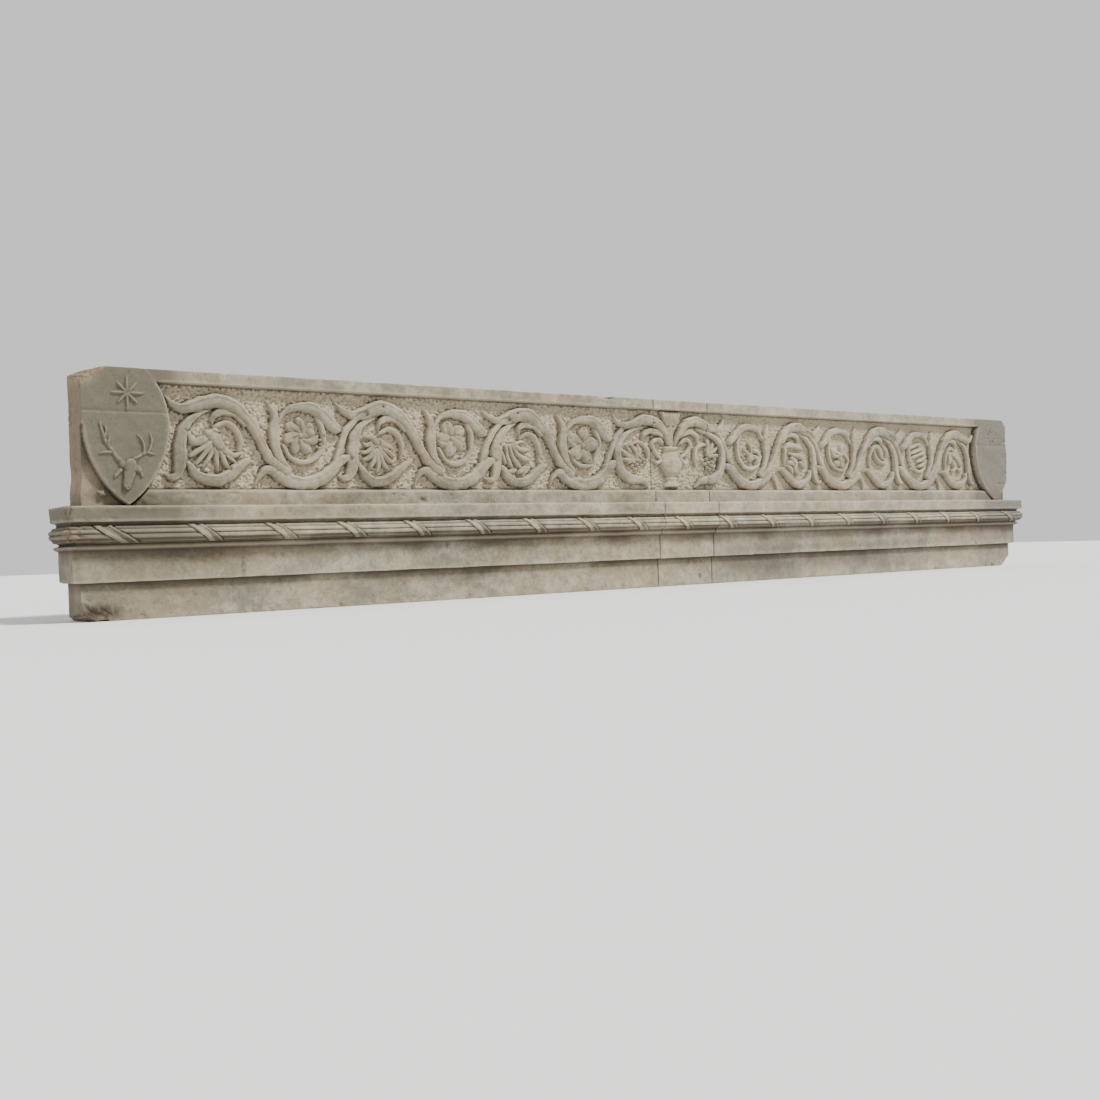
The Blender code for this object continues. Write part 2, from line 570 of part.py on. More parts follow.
def ribbons():
    """Slanting slabs, one for each ribbon, cut to a thin sleeve round the torus."""
    top = ARCHITRAVE_HEIGHT - FILLET_HEIGHT - QUIRK_HEIGHT
    sleeve = [(BAND_PLANE - out, height) for out, height in torus_outline(top, RIBBON_RAISE, 2)]
    sleeve += [(BAND_PLANE, top - TORUS_HEIGHT), (BAND_PLANE, top)]
    sleeve_guide = extrude_outline("ribbon_sleeve", sleeve, -HALF_LENGTH - TORUS_OUT,
                                   HALF_LENGTH + TORUS_OUT, "X")
    pitch = (FRIEZE_LENGTH - FIRST_RIBBON - LAST_RIBBON) / (RIBBON_COUNT - 1)
    slabs = []
    for index in range(RIBBON_COUNT):
        x = -HALF_LENGTH + FIRST_RIBBON + pitch * index
        over = TORUS_HEIGHT * 0.2
        drift = RIBBON_LEAN * over / TORUS_HEIGHT
        slab = [(x - drift, top + over), (x + RIBBON_WIDTH - drift, top + over),
                (x + RIBBON_WIDTH + RIBBON_LEAN + drift, top - TORUS_HEIGHT - over),
                (x + RIBBON_LEAN + drift, top - TORUS_HEIGHT - over)]
        slabs.append(extrude_outline("ribbon_slab", slab, BAND_PLANE - TORUS_OUT - BEYOND,
                                     BAND_PLANE - OVOLO_OUT / 2, "Y"))
    slabs_guide = join_guides("ribbon_slabs", slabs)
    combine(slabs_guide, sleeve_guide, "INTERSECT")
    return mesh_of(slabs_guide, "ribbons")


def break_off(name, end, damage):
    """A turned box that takes away a broken corner; end is the X of the lintel's nearer end."""
    (out, forward, height), size, turns = damage
    bpy.ops.mesh.primitive_cube_add(size=1.0)
    cube = bpy.context.active_object
    box = add_guide(name, cube.data)
    bpy.data.objects.remove(cube)
    turn = Matrix.Identity(4)
    for angle, axis in zip(turns, "XYZ"):
        turn = turn @ Matrix.Rotation(math.radians(angle), 4, axis)
    box.matrix_world = (Matrix.Translation((end + out, BAND_PLANE + forward, height)) @ turn
                        @ Matrix.Diagonal((*size, 1.0)))
    return mesh_of(box, name + "_box")


def carved_lintel():
    """The whole lintel before it is parted into blocks."""
    body = plain_body()
    combine(body, panel_cutter(), "DIFFERENCE")
    run_out = HALF_LENGTH + BEYOND
    combine(body, corner_cutter("left_corner", -run_out, FIELD_LEFT - LOWER_BAND), "DIFFERENCE")
    combine(body, corner_cutter("right_corner", RIGHT_SHIELD_X, run_out), "DIFFERENCE")
    carving = scroll_side(-1, LEFT_FILLINGS) + scroll_side(1, RIGHT_FILLINGS)
    carving += [urn_body()] + urn_trim() + shields() + [ribbons()]
    combine(body, join_guides("carving", carving), "UNION", overlapping=True)
    combine(body, end_profile(), "INTERSECT")
    combine(body, break_off("top_left_break", -HALF_LENGTH, TOP_LEFT_BREAK), "DIFFERENCE")
    combine(body, break_off("foot_left_break", -HALF_LENGTH, FOOT_LEFT_BREAK), "DIFFERENCE")
    combine(body, break_off("fillet_break", -HALF_LENGTH, FILLET_BREAK), "DIFFERENCE")
    combine(body, break_off("foot_right_break", HALF_LENGTH, FOOT_RIGHT_BREAK), "DIFFERENCE")
    return merge_flat_faces(mesh_of(body, "carved_lintel"))


def part_block(name, whole, start, end, collection):
    """One block: the length of the lintel between two joints."""
    bpy.ops.mesh.primitive_cube_add(size=1.0)
    block = bpy.context.active_object
    block.name = name
    block.data.name = name
    for holder in list(block.users_collection):
        holder.objects.unlink(block)
    collection.objects.link(block)
    deep = BODY_DEPTH + 2 * TORUS_OUT + 2 * BEYOND
    block.data.transform(Matrix.Translation(((start + end) / 2, BAND_PLANE, TOTAL_HEIGHT / 2))
                         @ Matrix.Diagonal((end - start, 2 * deep, TOTAL_HEIGHT + BEYOND, 1.0)))
    combine(block, whole, "INTERSECT")
    block.data.materials.append(make_stone(name + "_stone", STONE_COLOURS[name]))


def build():
    """Clear the scene and model the lintel."""
    for old in list(bpy.data.objects):
        bpy.data.objects.remove(old)
    make_collection("guides")
    collection = make_collection("fireplace_lintel")
    whole = carved_lintel()
    reach = HALF_LENGTH + TORUS_OUT + BEYOND
    half_gap = JOINT_GAP / 2
    part_block("stone_left", whole, -reach, LEFT_JOINT - half_gap, collection)
    part_block("stone_centre", whole, LEFT_JOINT + half_gap, RIGHT_JOINT - half_gap, collection)
    part_block("stone_right", whole, RIGHT_JOINT + half_gap, reach, collection)


build()
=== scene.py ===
import math

import bpy
import numpy as np
from mathutils import Matrix, Vector


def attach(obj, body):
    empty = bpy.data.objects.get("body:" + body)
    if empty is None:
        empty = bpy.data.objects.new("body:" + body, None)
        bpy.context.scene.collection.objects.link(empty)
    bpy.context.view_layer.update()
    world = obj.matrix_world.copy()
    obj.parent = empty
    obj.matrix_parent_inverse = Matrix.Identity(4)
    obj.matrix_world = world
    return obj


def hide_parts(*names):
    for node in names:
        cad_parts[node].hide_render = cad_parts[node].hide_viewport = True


# Carved sandstone lintel of a fireplace: three blocks, each a fine carved mesh over its solid
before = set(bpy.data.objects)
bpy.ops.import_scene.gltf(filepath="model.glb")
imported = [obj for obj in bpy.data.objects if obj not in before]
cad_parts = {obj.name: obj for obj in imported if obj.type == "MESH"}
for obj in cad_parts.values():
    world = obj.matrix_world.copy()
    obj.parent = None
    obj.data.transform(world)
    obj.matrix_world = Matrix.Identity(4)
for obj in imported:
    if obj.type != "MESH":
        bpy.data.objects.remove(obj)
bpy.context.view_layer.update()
print("frame loaded")

mm = 0.001
dice = np.random.default_rng(12)

# measures of the lintel in metres, the same as its solids have
lintel = {
    "halfLength": 1.490, "height": 0.4903, "friezeFoot": 0.2203, "depth": 0.104, "bandPlane": -0.0316,
    "leftJoint": -0.0619, "rightJoint": 0.1281, "gap": 0.0003,
    "urnX": 0.0041, "urnBay": 0.2003, "urnScroll": 0.130, "pitch": 0.18660, "scrollsASide": 6,
    "leftShieldX": -1.4025, "rightShieldX": 1.422, "leftShieldHalf": 0.0867, "rightShieldHalf": 0.098,
}
wallPlane = (lintel["bandPlane"] + lintel["depth"]) / mm
# the canvas in millimetres from the frieze's left end and the fillet's top, and the scale of the strokes
canvas = {"step": 1.25, "left": -4, "right": 2984.1, "foot": -2, "top": 272.1, "sink": 18.0,
          "lowerBand": 31.0, "upperBand": 245.0, "chamfer": 4.0, "middle": 138.0, "drawing": 0.98095}
blockMesh = {"column": 1.6, "keep": 190000, "keepCentre": 42000, "topStep": 6.0, "friezeStep": 1.5,
             "mouldingStep": 1.6, "reedStep": 1.1, "fasciaStep": 2.4, "backStep": 14.0, "arris": 1.1}


def inMm(key):
    # a measure of the lintel in millimetres
    return lintel[key] / mm


def hexColour(text):
    # sRGB hex to the linear values that the shaders want
    parts = [int(text[i:i + 2], 16) / 255 for i in (1, 3, 5)]
    return tuple(c / 12.92 if c <= 0.04045 else ((c + 0.055) / 1.055) ** 2.4 for c in parts) + (1.0,)


# The frieze is drawn first on a canvas of heights in millimetres, 0 at the plane of the bands
canvasX = np.arange(canvas["left"], canvas["right"], canvas["step"])
canvasZ = np.arange(canvas["foot"], canvas["top"], canvas["step"])
relief = np.zeros((len(canvasZ), len(canvasX)))
carved = np.zeros_like(relief)                         # 1 on carved forms, 0 on the pecked ground


def unit(values):
    # held between 0 and 1
    return np.clip(values, 0, 1)


def bell(offset, width):
    # 1 at the middle, soft towards nothing about two widths away
    return np.exp(-(offset / width) ** 2)


def patch(across, wide, up, tall):
    # the same over a width and a height
    return np.exp(-(across / wide) ** 2 - (up / tall) ** 2)


def noiseField(rows, cols, cell, seed):
    # soft noise between -1 and 1, with bumps as far apart as cell (rows, columns)
    roll = np.random.default_rng(seed)
    r, c = int(rows / cell[0]) + 3, int(cols / cell[1]) + 3
    coarse = roll.uniform(-1, 1, (r, c))
    y = np.arange(rows) / cell[0]
    x = np.arange(cols) / cell[1]
    yi, xi = y.astype(int), x.astype(int)
    fy, fx = y - yi, x - xi
    fy, fx = fy * fy * (3 - 2 * fy), fx * fx * (3 - 2 * fx)
    low = coarse[yi][:, xi] * (1 - fx) + coarse[yi][:, xi + 1] * fx
    high = coarse[yi + 1][:, xi] * (1 - fx) + coarse[yi + 1][:, xi + 1] * fx
    return low * (1 - fy)[:, None] + high * fy[:, None]


def blur(field, width):
    # separable soft blur, width in samples
    reach = int(width * 3) + 1
    kernel = np.exp(-0.5 * (np.arange(-reach, reach + 1) / width) ** 2)
    kernel /= kernel.sum()
    for axis in (0, 1):
        pad = [(0, 0), (0, 0)]
        pad[axis] = (reach, reach)
        wide = np.pad(field, pad, mode="edge")
        out = np.zeros_like(field)
        for i, k in enumerate(kernel):
            out += k * (wide[i:i + field.shape[0]] if axis == 0 else wide[:, i:i + field.shape[1]])
        field = out
    return field


def smoothLine(points, spacing=2.5):
    # a smooth line through (across, up, half width) points
    p = np.array(points, float)
    p = np.vstack([2 * p[0] - p[1], p, 2 * p[-1] - p[-2]])
    line = []
    for a, b, c, d in zip(p, p[1:], p[2:], p[3:]):
        n = max(2, int(np.hypot(*(c - b)[:2]) / spacing))
        t = (np.arange(n) / n)[:, None]
        line.append(0.5 * (2 * b + (c - a) * t + (2 * a - 5 * b + 4 * c - d) * t ** 2
                           + (3 * b - a - 3 * c + d) * t ** 3))
    line.append(p[-2][None])
    return np.vstack(line)


def swayField(cell, reach, seed):
    # broad waves with small ones on them
    return noiseField(*relief.shape, cell, seed) * reach + noiseField(*relief.shape, (9, 11), seed + 1) * 0.9


# the carver's hand: every form is pushed about a little, along and up
sway = [swayField((26, 34), 2.6, 5), swayField((30, 26), 2.0, 7)]


def windowOf(low, high, margin):
    # the slice of the canvas round a box in canvas millimetres
    c0 = max(0, int((low[0] - margin - canvasX[0]) / canvas["step"]))
    c1 = min(len(canvasX), int((high[0] + margin - canvasX[0]) / canvas["step"]) + 2)
    r0 = max(0, int((low[1] - margin - canvasZ[0]) / canvas["step"]))
    r1 = min(len(canvasZ), int((high[1] + margin - canvasZ[0]) / canvas["step"]) + 2)
    return slice(r0, r1), slice(c0, c1)


def nearest(line, rows, cols, swayed):
    # for each canvas point: distance from the line in half widths, the side, the share along, the half width
    x, z = np.meshgrid(canvasX[cols], canvasZ[rows])
    if swayed:
        x, z = x + sway[0][rows, cols], z + sway[1][rows, cols]
    best = np.full(x.shape, 1e9)
    side, along, half = np.zeros_like(x), np.zeros_like(x), np.ones_like(x)
    runs = np.hypot(np.diff(line[:, 0]), np.diff(line[:, 1]))
    total, start = runs.sum(), 0.0
    for a, b, run in zip(line, line[1:], runs):
        if run < 1e-6:
            continue
        dx, dz = (b[0] - a[0]) / run, (b[1] - a[1]) / run
        t = unit(((x - a[0]) * dx + (z - a[1]) * dz) / run)
        w = np.maximum(a[2] + (b[2] - a[2]) * t, chisel["thinnest"])
        ex, ez = x - a[0] - dx * run * t, z - a[1] - dz * run * t
        r = np.hypot(ex, ez) / w
        take = r < best
        best = np.where(take, r, best)
        side = np.where(take, np.sign(ez * dx - ex * dz), side)
        along = np.where(take, (start + run * t) / total, along)
        half = np.where(take, w, half)
        start += run
    return best, side, along, half


# how a stroke is cut: its least half width, the lobes of its edge, and the groove, the ridge and the
# slanting veins along it, with places across it in half widths and lengths in millimetres
chisel = {"thinnest": 0.8, "lobes": 0.045, "lobeLength": 4.2, "groove": 1.5, "grooveAt": 0.3,
          "grooveWidth": 0.16, "ridge": 0.5, "ridgeAt": 0.62, "ridgeWidth": 0.15, "veins": 0.8,
          "veinLength": 2.1, "veinsFrom": 7, "deepestCut": 2.8}


def lay(points, crest, place, vein=0.0, roll=0.0, edge=2.4, steep=4.6, foot=0.6, base=-canvas["sink"]):
    # one carved stem or leaf. place turns drawn millimetres into canvas ones; it cuts a groove round itself
    # in what lies under it. vein is the depth of a groove along it, roll tips it to one side
    x0, z0, scale, mirror = place
    line = smoothLine(points)
    line = np.column_stack([x0 + mirror * scale * line[:, 0], z0 + scale * line[:, 1], scale * line[:, 2]])
    rows, cols = windowOf(line[:, :2].min(0), line[:, :2].max(0), line[:, 2].max() * 1.6 + 4)
    r, side, along, half = nearest(line, rows, cols, base < 0)
    length = np.hypot(np.diff(line[:, 0]), np.diff(line[:, 1])).sum()
    if vein:
        r = r * (1 + chisel["lobes"] * np.sin(along * length / chisel["lobeLength"] + 1.4 * side))
    top = np.minimum(crest, 2.1 * half + 1.5)
    shape = np.sqrt(unit(1 - unit(r) ** steep))
    height = top * (foot + (1 - foot) * shape) + roll * mirror * side * r * top
    if vein:
        fade = unit(np.minimum(along, 1 - along) * 6)
        lane = r * side * mirror
        groove = bell(lane - chisel["grooveAt"], chisel["grooveWidth"])
        ridge = bell(lane - chisel["ridgeAt"], chisel["ridgeWidth"])
        height -= chisel["groove"] * vein * fade * groove
        height += chisel["ridge"] * vein * fade * ridge
        height -= (chisel["veins"] * fade * (half > chisel["veinsFrom"]) * unit(r - 0.3)
                   * (1 + np.sin(along * length / chisel["veinLength"] - 3.0 * r)))
    inside = r < 1
    here = relief[rows, cols]
    new = height + base
    ring = unit((1 + edge / half - r) / (edge / half)) * (r >= 1)
    here = here - ring * np.clip((here - base) * 0.6 + 0.6, 0, chisel["deepestCut"])
    relief[rows, cols] = np.where(inside, np.maximum(new, here * 0.25 + new * 0.75), here)
    carved[rows, cols] = np.maximum(carved[rows, cols], inside)


def around(across, up, reach, place):
    # the slices of the canvas round a point, and how far its points lie from that one
    x0, z0, scale, mirror = place
    cx, cz = x0 + mirror * scale * across, z0 + scale * up
    rows, cols = windowOf((cx, cz), (cx, cz), reach)
    return rows, cols, *np.meshgrid(canvasX[cols] - cx, canvasZ[rows] - cz)


def mound(across, up, radii, crest, place, turn=0.0, steep=2.2, base=-canvas["sink"]):
    # a rounded bead, grape or body
    scale, mirror = place[2:]
    rows, cols, x, z = around(across, up, max(radii) * scale + 3, place)
    angle = math.radians(turn) * mirror
    u = (x * math.cos(angle) + z * math.sin(angle)) / (radii[0] * scale)
    v = (-x * math.sin(angle) + z * math.cos(angle)) / (radii[1] * scale)
    r = np.hypot(u, v)
    new = crest * (0.35 + 0.65 * np.sqrt(unit(1 - r ** steep))) + base
    here = relief[rows, cols]
    ring = np.clip(1.25 - r, 0, 0.25) * 4 * (r >= 1)
    here = here - ring * np.clip((here - base) * 0.5 + 0.6, 0, 2.2)
    relief[rows, cols] = np.where(r < 1, np.maximum(new, here * 0.3 + new * 0.7), here)
    carved[rows, cols] = np.maximum(carved[rows, cols], r < 1)


def drill(across, up, radius, depth, place):
    # a drilled hole where leaves part
    rows, cols, x, z = around(across, up, radius * 2, place)
    relief[rows, cols] -= depth * bell(np.hypot(x, z), radius)


# strokes in drawn millimetres from a scroll's middle: across, up, half width, then the crest
leafScroll = {
    "band": [[(-8, 62, 4), (-42, 44, 7), (-64, 16, 11), (-72, -20, 13), (-74, -52, 13), (-80, -76, 9),
        (-94, -83, 6), (-105, -76, 2)], 15.5],
    "under": [[(-57, -52, 6), (-40, -77, 10), (-10, -89, 12), (20, -82, 12), (45, -62, 11), (66, -46, 7),
        (82, -50, 2)], 17],
    "eye": [[(-2, 22, 4), (22, 31, 6), (44, 17, 7), (53, -8, 6), (49, -36, 3)], 13.5],
    "hook": [[(64, 33, 7), (44, 52, 9), (16, 56, 9), (-4, 44, 6), (-5, 26, 2)], 15],
    "over": [[(-108, 88, 2), (-92, 71, 6), (-70, 60, 9), (-42, 65, 13), (-8, 77, 16), (25, 75, 16),
        (52, 59, 14), (72, 38, 11), (88, 14, 9), (103, -18, 8), (122, -46, 9), (150, -68, 9)], 18.6],
}
stemScroll = {
    "riser": [[(78, -48, 8), (89, -12, 8), (108, 26, 8), (132, 54, 7), (152, 64, 5)], 13],
    "ring": [[(38, 50, 5), (50, 24, 6), (47, -10, 6), (28, -37, 6), (0, -46, 6), (-26, -36, 5),
        (-42, -10, 4)], 13],
    "tail": [[(-78, 85, 2), (-68, 70, 5), (-59, 46, 9), (-63, 18, 12), (-62, -10, 11), (-52, -38, 9),
        (-34, -62, 7)], 15],
    "over": [[(-52, 38, 4), (-34, 62, 6), (-5, 73, 9), (25, 71, 12), (50, 57, 13), (68, 39, 13),
        (84, 28, 9), (95, 26, 3)], 17],
    "under": [[(-107, -101, 2), (-97, -78, 5), (-78, -62, 9), (-52, -77, 13), (-22, -90, 15), (8, -93, 15),
        (38, -86, 15), (64, -68, 14), (84, -47, 12), (98, -38, 9), (112, -36, 4)], 18.2],
}
urnScroll = {
    "arc": [[(36, 62, 4), (5, 54, 6), (-32, 36, 8), (-52, 8, 10), (-54, -24, 11), (-42, -56, 12),
        (-18, -75, 13), (12, -79, 11), (32, -85, 7), (48, -98, 3)], 16.5],
    "eye": [[(-8, 12, 3), (18, 20, 5), (42, 8, 6), (50, -14, 6), (43, -40, 3)], 14],
    "hook": [[(106, 36, 5), (84, 48, 8), (58, 52, 8), (38, 40, 6), (34, 22, 2)], 15.5],
    "leaf": [[(-66, 98, 2), (-56, 74, 5), (-34, 62, 8), (0, 66, 11), (34, 80, 14), (64, 79, 14),
        (92, 62, 12), (110, 40, 8), (122, 16, 5)], 18.6],
}
grooves = {"over": 1.0, "under": 0.8, "leaf": 1.0, "band": 0.7, "hook": 0.5}
# the stems are a little thinner on the right half
slims = {-1: 1.0, 1: 0.86, "urn": 0.96}


def drawn(x, mirror=1):
    # the place of something drawn round x in the middle of the frieze
    return x, canvas["middle"], canvas["drawing"], mirror


def layScroll(strokes, place, slim):
    # every stroke of one scroll, as wide as slim says
    for part, (points, crest) in strokes.items():
        points = [(across, up, wide * slim) for across, up, wide in points]
        lay(points, crest * (0.6 + 0.4 * slim), place, vein=grooves.get(part, 0.0), roll=0.08)


# what fills each scroll, as in the photograph: strokes of (across, up, half width) from its middle
shellLeaf = [
    [(-26, -60, 3), (-16, -44, 5), (-4, -22, 6)], [(-40, -52, 4), (-26, -36, 5), (-8, -16, 6)],
    [(-50, -34, 4), (-32, -24, 6), (-8, -10, 6)], [(4, -66, 3), (2, -46, 6), (2, -22, 7)],
    [(26, -62, 4), (18, -44, 6), (6, -20, 6)], [(42, -48, 4), (28, -36, 6), (8, -14, 6)],
    [(52, -28, 4), (38, -34, 6), (20, -26, 7), (8, -12, 6)],
    [(-54, 12, 3), (-48, -4, 6), (-32, -9, 8), (-14, 2, 8), (0, 14, 7)],
    [(-14, 8, 8), (2, -4, 12), (8, -18, 9)],
]
longFingers = [
    [(-60, 4, 3), (-34, 2, 5), (-10, 5, 6)], [(-54, -14, 4), (-50, -30, 5), (-44, -42, 4)],
    [(-44, 0, 5), (-40, -22, 5), (-34, -42, 6), (-24, -52, 4)],
    [(-34, 0, 5), (-24, -22, 6), (-10, -40, 6), (2, -50, 4)],
    [(-24, 0, 5), (-8, -16, 6), (10, -28, 6), (24, -32, 4)],
    [(-16, 3, 5), (0, -6, 6), (16, -8, 5), (24, -8, 3)], [(-14, 8, 5), (2, 12, 5), (12, 8, 3)],
    [(-40, -62, 4), (-28, -60, 7), (-16, -56, 5)], [(-8, -62, 4), (2, -58, 7), (14, -50, 5)],
]
manyFingers = [
    [(-42, -4, 4), (-34, -8, 5), (-14, 0, 7)], [(-46, -22, 4), (-34, -22, 5), (-14, -8, 7)],
    [(-42, -38, 4), (-28, -32, 6), (-12, -14, 7)], [(-28, -54, 4), (-20, -42, 6), (-10, -18, 6)],
    [(-10, -62, 4), (-8, -44, 6), (-8, -18, 6)], [(14, -56, 4), (2, -42, 6), (-5, -16, 5)],
    [(26, -44, 4), (12, -32, 6), (-2, -10, 6)], [(30, -28, 4), (18, -20, 6), (2, -2, 6)],
    [(26, -10, 3), (14, -6, 6), (-2, 4, 7)], [(-38, 12, 3), (-22, 10, 8), (-10, 0, 9)],
]
leafyFigure = [
    [(-48, 12, 3), (-36, 22, 6), (-14, 24, 8), (8, 20, 7), (26, 14, 3)],
    [(-30, 2, 3), (-12, -2, 6), (8, -4, 7), (26, -16, 4)],
    [(-20, -12, 6), (-4, -26, 8), (-10, -44, 7), (4, -56, 5)], [(14, -24, 5), (28, -34, 7), (40, -28, 4)],
    [(-36, -34, 4), (-24, -44, 6), (-22, -58, 4)], [(-16, -30, 5), (-26, -24, 7), (-34, -28, 4)],
]
podLeaf = [
    [(-22, 26, 5), (-12, 30, 8), (2, 16, 10), (6, 0, 9), (14, -8, 5)],
    [(-26, 22, 3), (-26, 4, 6), (-10, -14, 8), (10, -22, 7), (28, -18, 3)],
    [(8, 34, 4), (24, 20, 7), (28, 2, 5)],
]
stripedLeaf = [
    [(-44, 26, 3), (-16, 36, 5), (14, 42, 3)], [(-34, 12, 4), (-10, 20, 6), (22, 28, 4)],
    [(-46, -4, 3), (-10, 6, 5), (28, 14, 4)], [(-8, -14, 4), (18, -8, 6), (34, 2, 4)],
    [(-2, -30, 4), (18, -26, 6), (36, -16, 4)],
]
smallLeaf = [
    [(-42, 8, 3), (-28, 16, 5), (-8, 16, 4)], [(-26, -14, 5), (-28, 4, 6), (-20, 16, 3)],
    [(-10, -10, 6), (0, -30, 8), (-14, -44, 5)], [(6, 6, 5), (20, -8, 8), (34, -22, 4)],
    [(14, -34, 5), (26, -40, 7), (40, -32, 3)],
]
urnLeafLeft = [
    [(-20, 10, 3), (-12, -4, 6), (-2, -18, 8), (10, -26, 5)], [(-4, 12, 4), (8, -2, 8), (12, -18, 6)],
    [(16, 10, 5), (20, -4, 7), (16, -16, 5)], [(-40, -2, 3), (-22, -10, 7), (-4, -22, 7)],
    [(-34, -24, 3), (-18, -26, 7), (0, -28, 6)],
]
urnLeafRight = [
    [(20, 26, 3), (14, 8, 7), (4, -6, 7)], [(36, 14, 3), (24, 2, 7), (8, -8, 7)],
    [(2, 30, 4), (0, 12, 8), (0, -6, 6)], [(42, -8, 3), (28, -12, 6), (10, -12, 6)],
]
budLeaf = [
    [(-8, 28, 3), (0, 14, 7), (2, 0, 6)], [(12, 6, 6), (28, 2, 7), (34, -12, 4)],
    [(12, -10, 5), (26, -18, 7), (20, -30, 4)], [(-20, 6, 4), (-12, -4, 6)],
]
# the leaf and the berries of the scroll on either side of the urn
besideUrn = {
    -1: (urnLeafLeft, [(-14, -34), (-4, -42), (6, -50), (18, -46), (28, -40), (36, -34), (12, -38),
        (24, -30), (34, -24), (2, -32), (44, -28)]),
    1: (urnLeafRight, [(-18, -24), (-10, -34), (-2, -44), (8, -48), (14, -38), (4, -30), (-4, -20),
        (18, -28), (26, -20), (34, -12), (22, -42)]),
}
# drilled holes where leaves part: X and Z, radius and depth
holes = [
    (646, 217, 2.4, 9), (1004, 217, 2.6, 9), (1432, 209, 2.6, 9), (1575, 209, 2.4, 8), (825, 55, 2.2, 7),
    (1197, 60, 2.4, 8), (1796, 62, 2.4, 8), (896, 184, 2, 5), (2183, 60, 2.2, 6), (1966, 215, 2.2, 7),
    (2150, 150, 3.4, 9), (2146, 141, 2.6, 6), (2171, 129, 2.6, 6), (2128, 128, 2.4, 5), (205, 153, 2, 5),
    (2365, 219, 2.2, 6), (2600, 220, 2.2, 6), (1993, 60, 2.2, 6), (2566, 61, 2.2, 5), (1675, 216, 3, 6),
]


def bunch(place, spots, radius, crest):
    # round berries or grapes
    for across, up in spots:
        mound(across, up, (radius, radius), crest, place)


def leafOf(place, strokes, crest):
    # a leaf of overlapping strokes
    for index, points in enumerate(strokes):
        lay(points, crest + (index % 3) * 0.9, place, vein=0.9, edge=1.6, steep=2.6, foot=0.4)


def petals(place, centre, count, turn, reach, width, crest, swirl=0.0, notch=0.0):
    # a flower: broad petals round a raised eye; swirl bends them, notch parts each petal's rim in two lobes
    cx, cz = centre
    for i in range(count):
        angle = math.radians(turn + 360 * i / count)
        points = []
        for t, w in ((0.14, 0.45), (0.5, 0.9), (0.82, 1.0), (1.0, 0.62)):
            a = angle + math.radians(swirl) * t
            points.append((cx + math.cos(a) * reach * t, cz + math.sin(a) * reach * t, width * w))
        lay(points, crest - i % 2, place, vein=1.6, edge=1.6, steep=2.6, foot=0.4)
        if notch:
            a = angle + math.radians(swirl)
            drill(cx + math.cos(a) * reach * 1.12, cz + math.sin(a) * reach * 1.12, notch, 5, place)
    mound(cx, cz, (reach * 0.2, reach * 0.2), crest + 1.5, place)


def fillScrolls(urn):
    # the flower, leaf or fruit in each scroll, counted from the urn outwards
    pitch, bay = inMm("pitch"), inMm("urnBay")
    count = range(lintel["scrollsASide"])
    left = [(urn - bay - pitch * (i + 0.5), canvas["middle"], 1, 1) for i in count]
    right = [(urn + bay + pitch * (i + 0.5), canvas["middle"], 1, 1) for i in count]
    petals(left[0], (0, 6), 5, 75, 37, 18, 12, swirl=8, notch=3.0)
    leafOf(left[1], longFingers, 11.5)
    petals(left[2], (-4, 14), 5, 50, 32, 17, 11.5, swirl=-10, notch=2.6)
    leafOf(left[3], manyFingers, 11.5)
    petals(left[4], (-2, 10), 7, 60, 33, 11.5, 11.5, swirl=34)
    mound(20, 18, (12, 9), 14, left[4], turn=-20)
    bunch(left[4], [(36, 10), (42, 2), (44, -7), (40, -15), (33, -3), (34, -12), (48, 9)], 3.6, 11)
    leafOf(left[5], shellLeaf, 12)
    for side, (leaf, spots) in besideUrn.items():
        place = (urn + side * inMm("urnScroll"), canvas["middle"], 1, 1)
        leafOf(place, leaf, 10.5)
        bunch(place, spots, 4.8, 12)
    mound(0, -12, (13, 14), 15, right[0])
    leafOf(right[0], budLeaf, 12)
    bunch(right[0], [(-22, -4), (-30, -10), (-34, -20), (-24, -16), (-18, -26), (-28, -28)], 4.4, 10)
    leafOf(right[1], leafyFigure, 11)
    petals(right[2], (0, 0), 3, -75, 32, 15, 12)
    mound(-14, -26, (13, 11), 14, right[2])
    leafOf(right[2], [[(24, 2, 5), (36, -12, 6), (40, -26, 3)]], 10)
    leafOf(right[3], podLeaf, 11.5)
    leafOf(right[4], stripedLeaf, 10)
    bunch(right[4], [(-42, -22), (-34, -30), (-26, -22), (-18, -32), (-30, -38), (-40, -36)], 5, 9)
    leafOf(right[5], smallLeaf, 9.5)
    for x, z, radius, depth in holes:
        drill(x, z, radius, depth, (0, 0, 1, 1))


def frieze():
    # the sunk panel, then every scroll from the urn outwards
    z = canvasZ[:, None]
    low = unit((z - canvas["lowerBand"]) / canvas["chamfer"])
    high = unit((canvas["upperBand"] - z) / 2.0)
    relief[:] = -canvas["sink"] * low * high
    urn = (lintel["urnX"] + lintel["halfLength"]) / mm
    for side in (-1, 1):
        for index in range(lintel["scrollsASide"]):
            x = urn + side * (lintel["urnBay"] + lintel["pitch"] * (index + 0.5)) / mm
            layScroll(stemScroll if index % 2 == 0 else leafScroll, drawn(x, -side), slims[side])
        layScroll(urnScroll, drawn(urn + side * inMm("urnScroll"), -side), slims["urn"])
    fillScrolls(urn)
    return urn


